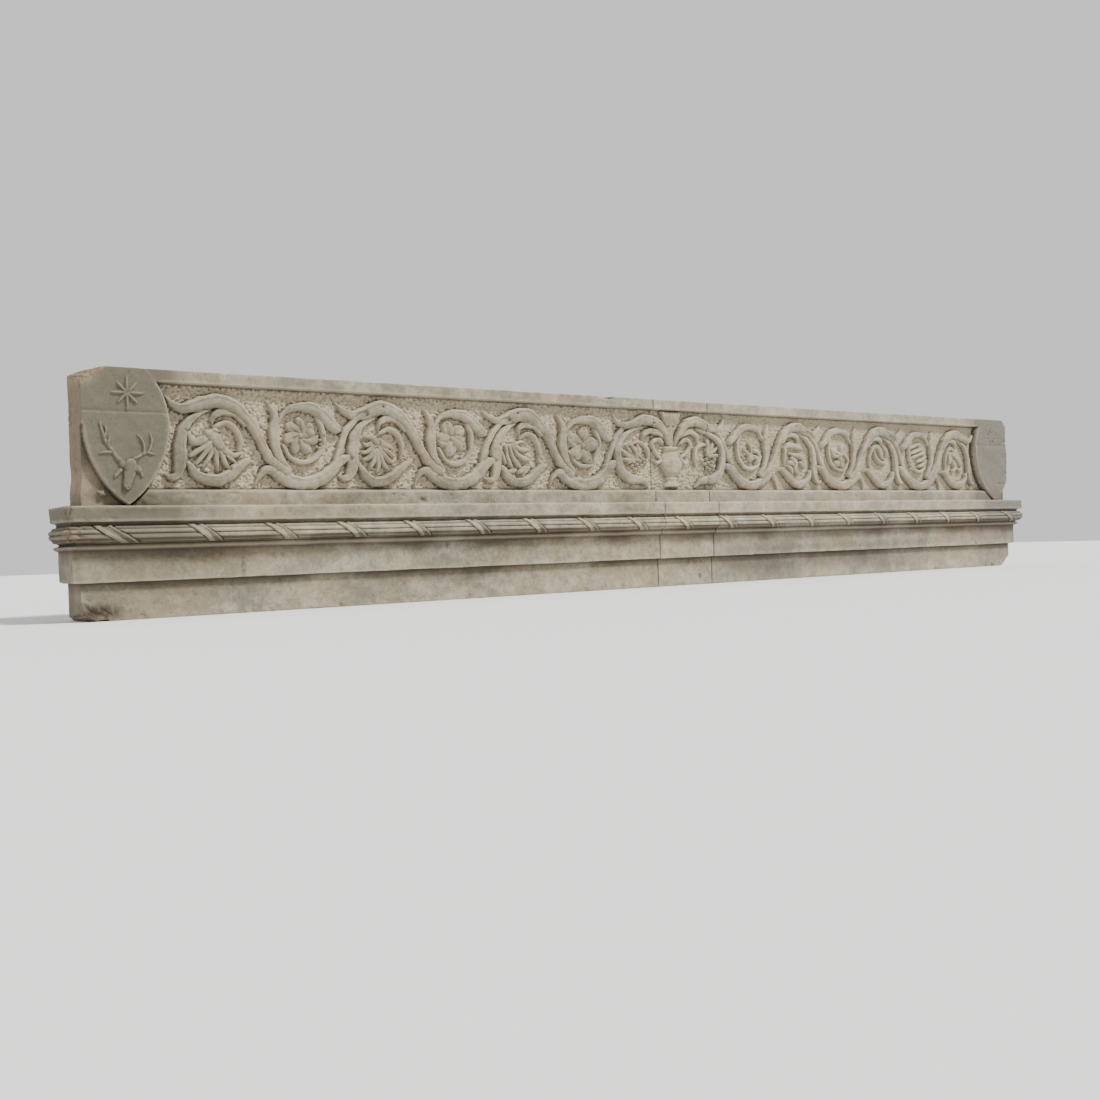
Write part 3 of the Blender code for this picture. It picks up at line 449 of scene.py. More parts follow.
def urnRelief(urn):
    # the footed urn: a turned outline seen from the front, flattened
    place = drawn(urn)
    outline = [(27, 0), (26, 5), (17, 15), (20, 20), (20, 26), (17, 28), (31, 41), (39, 58), (39, 68),
               (31, 84), (23, 98), (23, 103), (26, 106), (26, 110)]
    foot = canvas["middle"] - 99 * canvas["drawing"]
    rows, cols = windowOf((urn - 42, foot), (urn + 42, foot + 110), 2)
    x, z = np.meshgrid(canvasX[cols] - urn, canvasZ[rows] - foot)
    up = z / canvas["drawing"]
    halves = np.interp(up, [h for _, h in outline], [w for w, _ in outline]) * canvas["drawing"]
    halves = np.where((up < 0) | (up > 110), 0.0, halves)
    inside = np.abs(x) < halves
    share = np.clip(x / np.maximum(halves, 1), -1, 1)
    bulge = np.sqrt(1 - share ** 2) * halves * 0.48 + 3.0
    sag = up + 14 * share ** 2                          # rings on the body sag as seen from a little above
    bulge -= 4.5 * unit((sag - 80) / 4) * unit((101 - up) / 3)
    for ring, depth, width in ((84, 1.2, 2.0), (27, 1.8, 1.6), (19, 1.4, 1.4), (104, -1.5, 2.4)):
        bulge -= depth * bell((sag if ring == 84 else up) - ring, width)
    here = relief[rows, cols]
    relief[rows, cols] = np.where(inside, np.maximum(bulge - canvas["sink"], here), here)
    carved[rows, cols] = np.maximum(carved[rows, cols], inside)
    for mirror in (1, -1):
        side = drawn(urn, mirror)
        lay([(-36, -20, 4), (-58, -2, 5), (-68, 16, 5), (-60, 28, 5), (-44, 30, 5), (-31, 20, 4)], 12, side)
        lay([(-36, -24, 4), (-50, -33, 5), (-60, -26, 2)], 11, side)
        lay([(-34, 22, 5), (-44, 30, 6), (-52, 24, 3)], 13, side, edge=1.4)
    bunch(place, [(66, 2), (62, -6), (56, -14), (66, 10)], 3.6, 12)
    for i in (-3, 3, -2, 2, -1, 1, 0):                  # fan of leaves over the mouth
        a = i / 3
        leaf = [(a * 6, 44, 3), (a * 15, 68, 4.5), (a * 26, 94, 6), (a * 30, 101, 5)]
        lay(leaf, 15 - abs(a) * 2, place, edge=1.2)
    for i in (-1, 1, 0):
        lay([(i * 5, 10, 3), (i * 5, 44, 3)], 14 - abs(i), place, edge=0.8)
    for i in (-1, 1):
        drill(i * 9, 65, 2.4, 8, place)


def rayStar(x, z, reach, rise, base, worn):
    # a star of eight thin pointed rays
    for i in range(8):
        a = math.radians(45 * i)
        far = reach * (1.0 if i % 2 == 0 else 0.86)
        points = [(math.cos(a) * far * t, math.sin(a) * far * t, w) for t, w in
                  ((0.02, 1.4), (0.35, 3.4), (0.75, 2.8), (1.0, 1.0))]
        lay(points, rise, (x, z, 1, 1), edge=1.2, steep=1.6, foot=0.2, base=base)
        if worn:
            drill(math.cos(a + 0.4) * reach * 0.62, math.sin(a + 0.4) * reach * 0.62, 3.2, 2.2, (x, z, 1, 1))


# each beam and tine from its foot to its tip
antlers = [
    [(-12, 84, 5), (-22, 94, 4.5), (-32, 108, 3.8), (-42, 122, 3.4), (-49, 140, 2.8), (-54, 164, 1.2)],
    [(-34, 104, 3), (-46, 104, 2.4), (-58, 101, 1)], [(-38, 116, 2.6), (-37, 128, 2), (-34, 138, 1)],
    [(-46, 132, 2.4), (-42, 146, 2), (-45, 156, 1)],
    [(14, 90, 4.5), (24, 99, 3.6), (38, 104, 3), (54, 101, 1)],
    [(32, 102, 3), (33, 116, 2.6), (28, 130, 2.2), (20, 139, 1)],
    [(40, 104, 2.4), (46, 116, 2.2), (48, 130, 1.8), (44, 143, 1)], [(24, 98, 3), (12, 92, 3.4)],
]
onShield = {"steep": 2.2, "foot": 0.4, "base": 5.0}


def stagHead(x):
    # antlers, ears, brow and muzzle, standing on the shield's field
    place = (x, 0, 1, 1)
    for index, points in enumerate(antlers):
        lay(points, 4.6 + 0.2 * index, place, edge=2.0, **onShield)
    for points in ([(-16, 70, 4), (-24, 62, 4.5), (-28, 55, 2)], [(19, 70, 3), (25, 64, 3.5), (27, 58, 2)]):
        lay(points, 5, place, edge=1.2, **onShield)
    mound(4, 76, (24, 9), 7.0, place, turn=-16, base=onShield["base"])
    lay([(5, 82, 11), (2, 68, 12.5), (-1, 54, 10.5), (-3, 43, 9), (-3, 37, 6)], 9.5, place, edge=1.8,
        **{**onShield, "steep": 2.4})
    for across, up, radius in ((-8, 68, 2.6), (12, 66, 2.6), (-7, 43, 1.6), (3, 42, 1.6), (-2, 36, 2.0)):
        drill(across, up, radius, 3.4, place)


# the shields, in millimetres above the frieze's foot and proud of the bands
shield = {"widest": 165, "topRadius": 145.0, "flushFrom": 158, "chief": 182.5, "line": 184.5, "proud": 3.0,
          "field": 2.2, "corner": -12.0}


def shieldRelief():
    # the shields stand a little proud of the bands, the field below the chief a little more
    z = canvasZ[:, None]
    x = canvasX[None, :]
    for middle, half, onLeft in ((lintel["leftShieldX"], inMm("leftShieldHalf"), True),
                                 (lintel["rightShieldX"], inMm("rightShieldHalf"), False)):
        cx = (middle + lintel["halfLength"]) / mm
        rise = z - shield["widest"]
        lower = (half ** 2 + shield["widest"] ** 2) / (2 * half)
        radius = np.where(rise < 0, lower, shield["topRadius"])
        edge = half - radius + np.sqrt(np.clip(radius ** 2 - rise ** 2, 0, None))
        outer = (x < cx) if onLeft else (x > cx)
        edge = np.where(outer & (z > shield["flushFrom"]), half + 60, edge)      # flush with the block's end
        inside = np.abs(x - cx) < edge
        corner = outer & ~inside & (z > 1) & (z < shield["widest"]) & (np.abs(x - cx) < 200)
        relief[:] = np.where(corner, shield["corner"], relief)
        near = unit((edge - np.abs(x - cx)) / 4.5)
        ledge = unit((shield["chief"] - z) / 1.2)
        proud = shield["proud"] + shield["field"] * ledge - 1.4 * bell(z - shield["line"], 1.6)
        if not onLeft:
            proud = proud - 2.4 * bell(z - 179, 2.2)
        relief[:] = np.where(inside, proud - 2.0 * (1 - near) ** 2, relief)
        wall = (np.abs(x - cx) >= edge) & (np.abs(x - cx) < edge + 4) & (z < 240) & ~outer
        relief[:] = np.where(wall, np.minimum(relief, -19.5), relief)
        carved[:] = np.where(inside | corner, 1.0, carved)
    # the lower band is broken away beside the left shield's tip
    ragged = 150 + 8 * noiseField(len(canvasZ), 1, (7, 1), 77)
    broken = (x > 92) & (x < ragged) & (z < 36) & (relief < 2.5)
    worn = unit((ragged - x) / 36) * (1 + 0.25 * noiseField(*relief.shape, (6, 7), 78))
    relief[:] = np.where(broken, np.minimum(relief, -8.0 * worn), relief)
    carved[:] = np.where(broken, 1.0, carved)
    lump = patch(x - 40, 13, z - 27, 10) * (relief < 0)
    relief[:] = relief + lump * (9 + 4 * noiseField(*relief.shape, (4, 4), 79))
    rayStar(90, 220, 33, 4.6, 3.0, False)
    rayStar(2902.5, 212, 27, 1.6, 3.0, True)
    stagHead((lintel["leftShieldX"] + lintel["halfLength"]) / mm)


# pits of the panel's bands: X and Z of the middle on the canvas, width, height and depth
pits = [
    (664, 22, 4, 2, 2.5), (688, 20, 5, 3, 3), (676, 8, 7, 2, 2), (735, 10, 5, 4, 4), (742, 5, 9, 2, 2.5),
    (786, 16, 1.4, 9, 2), (812, 20, 5, 3, 2.5), (822, 12, 8, 2, 2), (748, 24, 5, 2, 1.6),
    (300, 25, 9, 3, 3), (1285, 268, 16, 4, 5), (1790, 34, 3, 2, 2), (2600, 14, 4, 2, 1.5),
    (2944, 55, 26, 2, 2.5), (208, 24, 12, 1.5, 1.5),
]


def panelDamage():
    # the pits, each a soft hollow
    x, z = np.meshgrid(canvasX, canvasZ)
    for px, pz, wide, tall, depth in pits:
        relief[:] -= depth * patch(x - px, wide, z - pz, tall)


urnMiddle = frieze()
urnRelief(urnMiddle)
shieldRelief()
panelDamage()
# the ground is pecked with a point, coarser and sharper on the left half
pecking = {"foot": 37, "top": 243, "size": 1.15, "depth": 1.6, "deepest": -1.8, "highest": 1.0,
           "along": [0, 1500, 2100, 2984], "strength": [1.15, 1.0, 0.6, 0.5]}
panelRows = (canvasZ > pecking["foot"]) & (canvasZ < pecking["top"])
ground = unit((1 - blur(carved, 0.9)) * 1.3 - 0.3) * panelRows[:, None]
pecks = blur(dice.normal(0, 1, relief.shape), pecking["size"])
pecks = np.clip(pecks / pecks.std(), pecking["deepest"], pecking["highest"])
strength = np.interp(canvasX, pecking["along"], pecking["strength"])
relief = blur(relief, 0.55) + ground * strength * pecking["depth"] * pecks
dressing = noiseField(*relief.shape, (5, 6), 90) * 0.45 + noiseField(*relief.shape, (14, 16), 91) * 0.8
relief += carved * dressing
# cavity darkens the crevices and the outlines round the carved forms: painted shade, with some soiling
narrow, broad = blur(relief, 1.6), blur(relief, 6.0)
cavity = (0.22 - 0.14 * ground) * (broad - relief) + (1.5 - 0.2 * ground) * (narrow - relief)
print("frieze drawn", relief.shape)


def sampleCanvas(field, x, z):
    # value of a canvas field at places in canvas millimetres
    u = np.clip((x - canvasX[0]) / canvas["step"], 0, len(canvasX) - 1.001)
    v = np.clip((z - canvasZ[0]) / canvas["step"], 0, len(canvasZ) - 1.001)
    ui, vi = u.astype(int), v.astype(int)
    fu, fv = u - ui, v - vi
    return ((field[vi, ui] * (1 - fu) + field[vi, ui + 1] * fu) * (1 - fv)
            + (field[vi + 1, ui] * (1 - fu) + field[vi + 1, ui + 1] * fu) * fv)


# the reeded torus and its ribbons, in millimetres below the frieze
torus = {"radius": 16.5, "out": 38.6, "middleDown": 53.5, "wrap": 84, "reeds": 4, "reedDepth": 3.6,
         "ribbons": 19, "first": 34.0, "last": 90.0, "width": 28.0, "lean": 44.0, "raise": 1.9}
profileStep = 0.5                                      # the section is worked out this finely first
# where the mouldings end, in millimetres below the frieze, and where and how far the painted shade and
# dampness stains lie under them
below = {"torus": 76, "moulding": 84, "upperFascia": 144, "edge": 146, "shadeAndDampFrom": 62, "shadeAndDampReach": 20}


def profileRows():
    # rows of one block from the top bed's back edge, down the front, under and up the back
    depth, height, foot = inMm("depth"), inMm("height"), inMm("friezeFoot")
    moulding, fascia, back = blockMesh["mouldingStep"], blockMesh["fasciaStep"], blockMesh["backStep"]
    arc = []
    for i in range(41):
        a = math.radians(torus["wrap"] * (1 - i / 20))
        arc.append((torus["out"] - torus["radius"] + torus["radius"] * math.cos(a),
                    foot - torus["middleDown"] + torus["radius"] * math.sin(a), blockMesh["reedStep"]))
    # out from the bands' plane, height, and the spacing of the rows up to the next corner
    corners = [(-depth, height, blockMesh["topStep"]), (0, height, blockMesh["friezeStep"]),
               (0, foot, moulding), (35.6, foot, moulding), (35.6, foot - 29.4, moulding),
               (25.0, foot - 31.0, moulding), (23.0, foot - 36.0, moulding)]
    corners += arc
    corners += [(18.5, foot - 72.0, moulding), (21.0, foot - 73.4, moulding), (21.0, foot - 79.4, moulding),
                (16.0, foot - 83.0, moulding), (10.8, foot - 84.0, fascia), (10.8, foot - 146.3, moulding),
                (0, foot - 146.3, fascia), (0, 0, blockMesh["topStep"]), (-depth, 0, back),
                (-depth, height, back)]
    fine, steps = [], []
    for (o0, z0, step), (o1, z1, _) in zip(corners, corners[1:]):
        n = max(1, int(round(math.hypot(o1 - o0, z1 - z0) / profileStep)))
        for i in range(n):
            fine.append((o0 + (o1 - o0) * i / n, z0 + (z1 - z0) * i / n))
            steps.append(step)
    fine, steps = np.array(fine), np.array(steps)
    onBack = fine[:, 0] < 1 - depth

    def soften(points, width):
        reach = int(width * 6)
        kernel = np.exp(-0.5 * (np.arange(-reach, reach + 1) * profileStep / width) ** 2)
        kernel /= kernel.sum()
        wide = np.vstack([points[-reach:], points, points[:reach]])
        return np.column_stack([np.convolve(wide[:, k], kernel, mode="valid") for k in (0, 1)])

    worn = soften(fine, blockMesh["arris"])
    wide = soften(fine, 5.0)
    worn[onBack] = fine[onBack]
    tangent = np.roll(wide, -3, 0) - np.roll(wide, 3, 0)
    tangent /= np.maximum(np.hypot(tangent[:, 0], tangent[:, 1]), 1e-9)[:, None]
    normal = np.column_stack([-tangent[:, 1], tangent[:, 0]])
    hollow = ((wide - worn) * normal).sum(1)
    picks, spent = [0], 0.0
    for i in range(1, len(fine)):
        spent += profileStep / steps[i]
        if spent >= 1:
            picks.append(i)
            spent -= 1
    picks = np.array(picks + [0])
    return worn[picks], normal[picks], hollow[picks], (wide - worn)[picks]


rowPlace, rowNormal, rowHollow, rowSofter = profileRows()
print("profile rows", len(rowPlace))


def blockColumns(left, right, leftEnd, rightEnd):
    # each column: its X, how far back it lies on an end, which end, and how much it fans out there
    half, depth = inMm("halfLength"), inMm("depth")
    n = int((right - left) / blockMesh["column"])
    x = np.linspace(left, right, n)
    back, end = np.zeros(n), np.where(x < 0, -1.0, 1.0)
    steps = np.arange(1, int(depth / 2.4) + 1) * depth / int(depth / 2.4)
    if leftEnd:
        x = np.concatenate([np.full(len(steps), -half), x])
        back = np.concatenate([steps[::-1], back])
        end = np.concatenate([-np.ones(len(steps)), end])
    if rightEnd:
        x = np.concatenate([x, np.full(len(steps), half)])
        back = np.concatenate([back, steps])
        end = np.concatenate([end, np.ones(len(steps))])
    fan = unit(1 - (half - np.abs(x)) / 130.0)
    return x, back, end, fan


def ribbonHeight(x, row):
    # reeds between the ribbons, and ribbons with a broad left edge and a thin right one
    down = inMm("friezeFoot") - rowPlace[row, 1]
    inTorus = (np.abs(down - torus["middleDown"]) < torus["radius"]) & (rowPlace[row, 0] > 20)
    angle = np.degrees(np.arcsin(np.clip((torus["middleDown"] - down) / torus["radius"], -1, 1)))
    share = (torus["wrap"] - angle) / (2 * torus["wrap"]) * torus["reeds"]
    reed = -torus["reedDepth"] * (1 - np.abs(np.sin(math.pi * np.clip(share, 0, torus["reeds"]))) ** 0.45)
    pitch = (2 * inMm("halfLength") - torus["first"] - torus["last"]) / (torus["ribbons"] - 1)
    local = x + inMm("halfLength") - torus["first"] - torus["lean"] * (down - 37) / 33.0
    index = np.floor(local / pitch)
    offset = local - index * pitch
    on = (offset < torus["width"]) & (index >= 0) & (index < torus["ribbons"])
    t = offset / torus["width"]
    band = torus["raise"] * (unit((0.44 - t) / 0.05) + unit((t - 0.80) / 0.05) * 0.85
                             - 0.5 * ((t >= 0.44) & (t <= 0.80)))
    beside = (offset >= torus["width"]) & (offset < torus["width"] + 3.5) | (offset > pitch - 3.0)
    reed = np.where(beside, np.minimum(reed, -2.4), reed)
    return np.where(inTorus, np.where(on, band, reed), 0.0)


# how far the end faces are worn back at the frieze, the fillet and torus, and the two fasciae
ends = {"left": (6.0, 0.5, -8.0, -4.0), "right": (-4.0, -4.0, -16.0, -10.0)}
# broken corners: a point of the rough plane that cuts each off, its outward direction, and how fresh it is
breaks = {
    "stone_left": [((-1478, 40, 478), (-0.55, -0.15, 0.82), 0.7),
        ((-1462, -32, 470), (-0.45, -0.62, 0.62), 1.0), ((-1483, -6, 8), (-0.66, -0.1, -0.74), 0.1),
        ((-1519, -62, 205), (-0.7, -0.7, 0.1), 0.2)],
    "stone_centre": [],
    "stone_right": [((1483, 0, 482), (0.72, 0.0, 0.7), 0.2), ((1478, 0, 9), (0.62, -0.2, -0.76), 0.2)],
}
# chips: X, Y and Z of the middle, reach and depth
chips = {
    "stone_left": [(-1269, -45, 112, 9, 3.5), (-1234, -45, 117, 7, 3), (-1250, -45, 110, 6, 2),
        (-1491, -25, 27, 15, 4), (-1460, -34, 4, 18, 5), (-1380, -34, 2, 9, 3), (-1120, -34, 0, 8, 3),
        (-1170, -34, -1, 10, -3), (-960, -34, 0, 7, 3), (-640, -34, 0, 9, 3), (-300, -34, 0, 7, 3),
        (-1486, -60, 188, 9, 4), (-1440, -68, 195, 7, 2), (-820, -70, 220, 8, 3), (-221, -32, 489, 16, 4),
        (-760, -32, 490, 10, 2.5), (-1200, -32, 490, 9, 3), (-1530, 20, 160, 16, 4),
        (-1506, 30, 120, 14, 3), (-700, -44, 136, 5, 1.5), (-1494, 30, 300, 18, 4), (-1494, 50, 400, 22, 4),
        (-1490, 10, 250, 14, 3), (-1514, -66, 168, 20, 5), (-1496, -70, 152, 15, 4),
        (-1526, -48, 150, 18, 6), (-1470, -68, 176, 12, 3), (-1522, -60, 190, 12, 4),
        (-1448, -66, 150, 10, 2.5)],
    "stone_centre": [(84, -34, 22, 5, 2.5), (20, -34, 0, 7, 2), (30, -32, 490, 8, 2)],
    "stone_right": [(1405, -34, 1, 9, 4), (1460, -34, 24, 9, 3), (1100, -34, 0, 8, 3), (700, -34, 0, 9, 3),
        (420, -34, 0, 6, 2), (1485, -32, 415, 10, 4), (1488, -32, 300, 14, 3), (960, -32, 490, 10, 2),
        (540, -32, 490, 8, 2), (1300, -44, 78, 7, 2), (1524, -60, 200, 9, 3), (1526, -50, 170, 8, 3)],
}


# dark marks on the fasciae: X and Z of the middle, width, height and strength
marks = [
    (-1462, 14, 26, 12, 6.0), (-1180, 95, 6, 18, 3.0), (260, 42, 260, 38, 3.4), (640, 52, 230, 30, 3.6),
    (-420, 60, 150, 12, 1.6), (900, 30, 160, 22, 1.6), (-1486, 22, 10, 14, 3.0), (700, 92, 500, 12, 1.8),
    (1280, 105, 200, 30, 1.8),
]
# paler and warmer places: X and Z of the middle, width, height and share
bright = [
    (-1472, 262, 20, 36, 0.75), (-1455, 228, 30, 12, 0.6), (-1300, 240, 60, 12, 0.5),
    (-1476, 470, 22, 14, 0.6),
]


def damage(place, name, seed):
    # breaks and chips, with a share from 0 to 1 of how fresh the stone is there
    rough = np.random.default_rng(seed)
    fresh = np.zeros(len(place))
    for spot, facing, colour in breaks[name]:
        n = np.array(facing) / np.linalg.norm(facing)
        beyond = (place - np.array(spot)) @ n
        hit = beyond > -1
        grit = rough.normal(0, 0.6, len(place)) + np.sin(place[:, 0] / 7 + place[:, 2] / 9 + place[:, 1] / 5)
        grit += 0.9 * np.sin(place[:, 0] / 3.1 - place[:, 2] / 4.3)
        place[hit] -= n * np.clip(beyond[hit] + grit[hit] * unit(beyond[hit] / 3), 0, 60)[:, None]
        fresh = np.maximum(fresh, unit(beyond / 3) * colour)
    for x, y, z, reach, depth in chips[name]:
        offset = place - np.array((x, y, z))
        far = np.sqrt((offset ** 2).sum(1)) * (1 + 0.3 * np.sin(place[:, 0] / 4.1 + place[:, 2] / 2.9))
        bite = unit(1 - (far / reach) ** 2) ** 0.7 * depth
        bite[far > reach] = 0
        inward = 0.0 if abs(x) < 1450 else -np.sign(x) * 0.7
        toward = np.array((inward, 0.8, 0.6 if z < 60 else -0.5 if z > 400 else 0))
        place += toward * bite[:, None]
        fresh = np.maximum(fresh, unit(np.abs(bite) / 2.5) * (0.7 if y == -45 else 0.25))
    return place, fresh


# how far the stone waves off its section, in rows and columns between bumps and millimetres of height
waveCells = {"slow": ((30, 40), 0.6), "quick": ((9, 11), 0.3), "fine": ((2.6, 3.2), 0.16)}
seamWidth, seamDepth, endWave = 2.4, 1.6, 2.2


def makeGrid(name, rows, cols):
    # a flat grid, with the row and column of each point and the points' numbers by row and column
    bpy.ops.object.select_all(action="DESELECT")
    bpy.ops.mesh.primitive_grid_add(x_subdivisions=cols - 1, y_subdivisions=rows - 1, size=2)
    block = bpy.context.active_object
    block.name = name
    block.data.name = name
    co = np.empty(len(block.data.vertices) * 3, np.float32)
    block.data.vertices.foreach_get("co", co)
    co = co.reshape(-1, 3)
    c = np.rint((co[:, 0] + 1) / 2 * (cols - 1)).astype(int)
    r = np.rint((1 - co[:, 1]) / 2 * (rows - 1)).astype(int)
    grid = np.empty((rows, cols), int)
    grid[r, c] = np.arange(len(r))
    r[r == rows - 1] = 0                                   # the last row meets the first
    return block, r, c, grid


def weatherAndShade(place, fresh, at):
    # what the colours follow at each point: painted shade and soiling in the hollows, painted shade and
    # dampness stains under the mouldings, grime, fresh breaks and pecked ground
    half, foot, down, front = inMm("halfLength"), inMm("friezeFoot"), at["down"], at["front"]
    x, z, ribbon = at["x"] + half, at["z"] - foot, at["ribbon"]
    # hollow: painted shade with some soiling in the concave corners of the mouldings and round the carved
    # forms; the dark marks below add to it
    hollow = np.where(at["onFrieze"] & ~at["onEnd"], sampleCanvas(cavity, x, z), at["hollow"] * 2.0)
    # the grooves between the reeds and beside the ribbons get painted shade, the ribbons a little less; the
    # raked joints are darker
    hollow = hollow - np.where(ribbon > 0, ribbon * 0.35, ribbon * 2.2) + 5.0 * at["seam"] * front
    # painted shade with some dampness staining: dark bands that fade downward from under the moulding and
    # from under the upper fascia's edge
    moulding, edge = (np.exp(-np.clip(foot - below[key] - down, 0, None) / below["shadeAndDampReach"])
                      for key in ("moulding", "edge"))
    underEdge = edge * (down < foot - below["edge"])
    damp = np.maximum(moulding * (down < foot - below["shadeAndDampFrom"]) * (down > foot - below["edge"]), underEdge)
    damp = np.where(front, damp, 0.0) * (0.75 + 0.5 * at["shadeAndDampWaves"])
    leftGrime = 0.65 * np.exp(-np.clip(x - 176, 0, None) / 30) + 0.45 * np.exp(-x / 600)
    rightGrime = 0.9 * np.exp(-np.clip(half - at["x"] - 160, 0, None) / 40)
    grime = np.maximum(leftGrime, rightGrime) * np.where(down > foot - 70, 1.0, 0.35)
    for px, pz, wide, tall, strength in marks:
        mark = patch(place[:, 0] - px, wide, place[:, 2] - pz, tall)
        hollow = hollow + strength * mark * (place[:, 1] < -20) * (0.85 + 0.35 * at["markWaves"])
    for px, pz, wide, tall, share in bright:
        paler = share * patch(place[:, 0] - px, wide, place[:, 2] - pz, tall) * front
        hollow, grime, fresh = hollow * (1 - paler), grime * (1 - paler), np.maximum(fresh, 0.6 * paler)
    fresh = np.maximum(fresh, 0.6 * at["brownEnd"])
    atBack = place[:, 1] > wallPlane - 2
    hollow, damp, fresh = (np.where(atBack, 0.0, field) for field in (hollow, damp, fresh))
    grime = np.where(atBack, np.minimum(grime, 0.15), grime)
    pecked = np.where(at["onFrieze"], sampleCanvas(ground, x, z), 0.0)
    return {"hollow": hollow, "damp": damp, "grime": grime, "fresh": fresh, "pecked": pecked}


def thinAndClose(block, kept, keep):
    # the mesh is thinned to about keep triangles, and its open ends are closed with one flat face each
    inside = block.vertex_groups.new(name="inside")
    inside.add(np.nonzero(~kept)[0].tolist(), 1.0, "REPLACE")
    bpy.ops.object.mode_set(mode="EDIT")
    bpy.ops.mesh.select_all(action="SELECT")
    bpy.ops.mesh.remove_doubles(threshold=0.00001)
    bpy.ops.object.mode_set(mode="OBJECT")
    count = sum(len(p.vertices) - 2 for p in block.data.polygons)
    thin = block.modifiers.new("thin", "DECIMATE")
    thin.vertex_group = "inside"
    thin.ratio = min(1.0, keep / count)
    bpy.ops.object.modifier_apply(modifier="thin")
    bpy.ops.object.mode_set(mode="EDIT")
    bpy.ops.mesh.select_mode(type="EDGE")
    bpy.ops.mesh.select_all(action="DESELECT")
    bpy.ops.mesh.select_non_manifold(extend=False)
    bpy.ops.mesh.fill_holes(sides=0)
    bpy.ops.mesh.select_all(action="SELECT")
    bpy.ops.mesh.normals_make_consistent(inside=False)
    bpy.ops.object.mode_set(mode="OBJECT")
    bpy.ops.object.shade_smooth_by_angle(angle=math.radians(50))
    print(block.name, "triangles", sum(len(p.vertices) - 2 for p in block.data.polygons), "from", count)


def carveBlock(node, left, right, keep, seed):
    # one block between left and right: a grid wrapped round the section, then carved, broken and worn
    half, depth, foot = inMm("halfLength"), inMm("depth"), inMm("friezeFoot")
    leftEnd, rightEnd = node == "stone_left", node == "stone_right"
    x, back, end, fan = blockColumns(left, right, leftEnd, rightEnd)
    rows, cols = len(rowPlace), len(x)
    block, r, c, grid = makeGrid("carved_" + node, rows, cols)

    def waves(cell, more):
        return noiseField(rows, cols, cell, seed + more)

    out, z, down = rowPlace[r, 0].copy(), rowPlace[r, 1].copy(), rowPlace[r, 1]
    front = (out > 1 - depth)                              # everything but the back
    onFrieze = (z > foot + 1.0) & (out > -1.5)
    onEnd = back[c] > 0
    slow, quick, fine = (waves(cell, more) * rise for more, (cell, rise) in enumerate(waveCells.values()))
    ribbon = ribbonHeight(x[c], r)
    push = (slow + quick)[r, c] + ribbon + np.where(front & (out > -20), fine[r, c], 0.0)
    bites = noiseField(1, cols, (1, 11), seed + 3)[0] + 0.7 * noiseField(1, cols, (1, 3.3), seed + 4)[0]
    bites = np.clip(bites - 0.25, 0, None) * 0.6
    footArris = (z < 6) & (out > -8)                       # the bottom edge is the most chipped
    wear = np.where(front & (rowHollow[r] < 0), 0.06 + bites[c] * np.where(footArris, 1.5, 0.6), 0.0)
    push = np.where(front, push, 0.8 * (slow + quick)[r, c])
    # the joints are raked out a little
    seam = np.zeros(cols)
    if not leftEnd:
        seam = np.maximum(seam, unit(1 - (x - x[0]) / seamWidth))
    if not rightEnd:
        seam = np.maximum(seam, unit(1 - (x[-1] - x) / seamWidth))
    push = push - seamDepth * seam[c] * front
    out = out + rowNormal[r, 0] * push + rowSofter[r, 0] * np.clip(wear, 0, 0.9)
    z = z + rowNormal[r, 1] * push + rowSofter[r, 1] * np.clip(wear, 0, 0.9)
    carve = np.where(onFrieze, sampleCanvas(relief, x[c] + half, z - foot), 0.0)
    fade = (depth - back[c]) / depth
    # the end faces are worn in long waves; the right one is dressed a little long at the fasciae
    torusFoot, fasciaFoot = foot - below["torus"], foot - below["upperFascia"]
    bands = [down > foot, down > torusFoot, down > fasciaFoot, down <= fasciaFoot]
    shift = np.select(bands, ends["left" if leftEnd else "right"])
    shift = shift + waves((26, 18), 5)[r, 0 if leftEnd else cols - 1] * endWave
    shift = np.where((onEnd | (fan[c] > 0)) & (leftEnd or rightEnd), shift, 0.0)
    px = np.where(onEnd, end[c] * (half + out - shift), x[c] + end[c] * (out - shift) * fan[c])
    py = np.where(onEnd, inMm("bandPlane") + back[c] - (out + carve) * fade, inMm("bandPlane") - out - carve)
    place, fresh = damage(np.column_stack([px, py, z]).astype(np.float64), node, seed + 9)
    place[:, 1] = np.minimum(place[:, 1], wallPlane + 0.5)
    # on an end the rows of the back lie on one upright line, where that end's back face starts
    behind = np.nonzero(rowPlace[:, 0] < 1 - depth)[0]
    endColumns = np.nonzero(back > 0)[0]
    kept = np.zeros(len(place), bool)                      # what the thinning must leave alone
    kept[grid[:, :2]] = kept[grid[:, -2:]] = True
    if len(endColumns):
        turn = endColumns[-1] + 1 if leftEnd else endColumns[0] - 1
        for column in endColumns:
            place[grid[behind, column]] = place[grid[behind, turn]]
        kept[grid[np.ix_(behind, [turn - 1, turn, turn + 1])]] = True
        kept[grid[np.ix_(behind, endColumns)]] = True
    place[:, 2] = np.clip(place[:, 2], 0, inMm("height") + 1.5)
    block.data.vertices.foreach_set("co", (place * mm).astype(np.float32).ravel())

    at = {"x": x[c], "z": z, "down": down, "front": front, "onFrieze": onFrieze, "onEnd": onEnd,
          "hollow": rowHollow[r], "ribbon": ribbon, "seam": seam[c],
          "brownEnd": onEnd & leftEnd & (down > foot),
          "shadeAndDampWaves": waves((40, 60), 6)[r, c], "markWaves": waves((30, 80), 7)[r, c]}
    for key, value in weatherAndShade(place, fresh, at).items():
        block.data.attributes.new(key, "FLOAT", "POINT").data.foreach_set("value", value.astype(np.float32))
    block.data.update()
    thinAndClose(block, kept, keep)
    return block


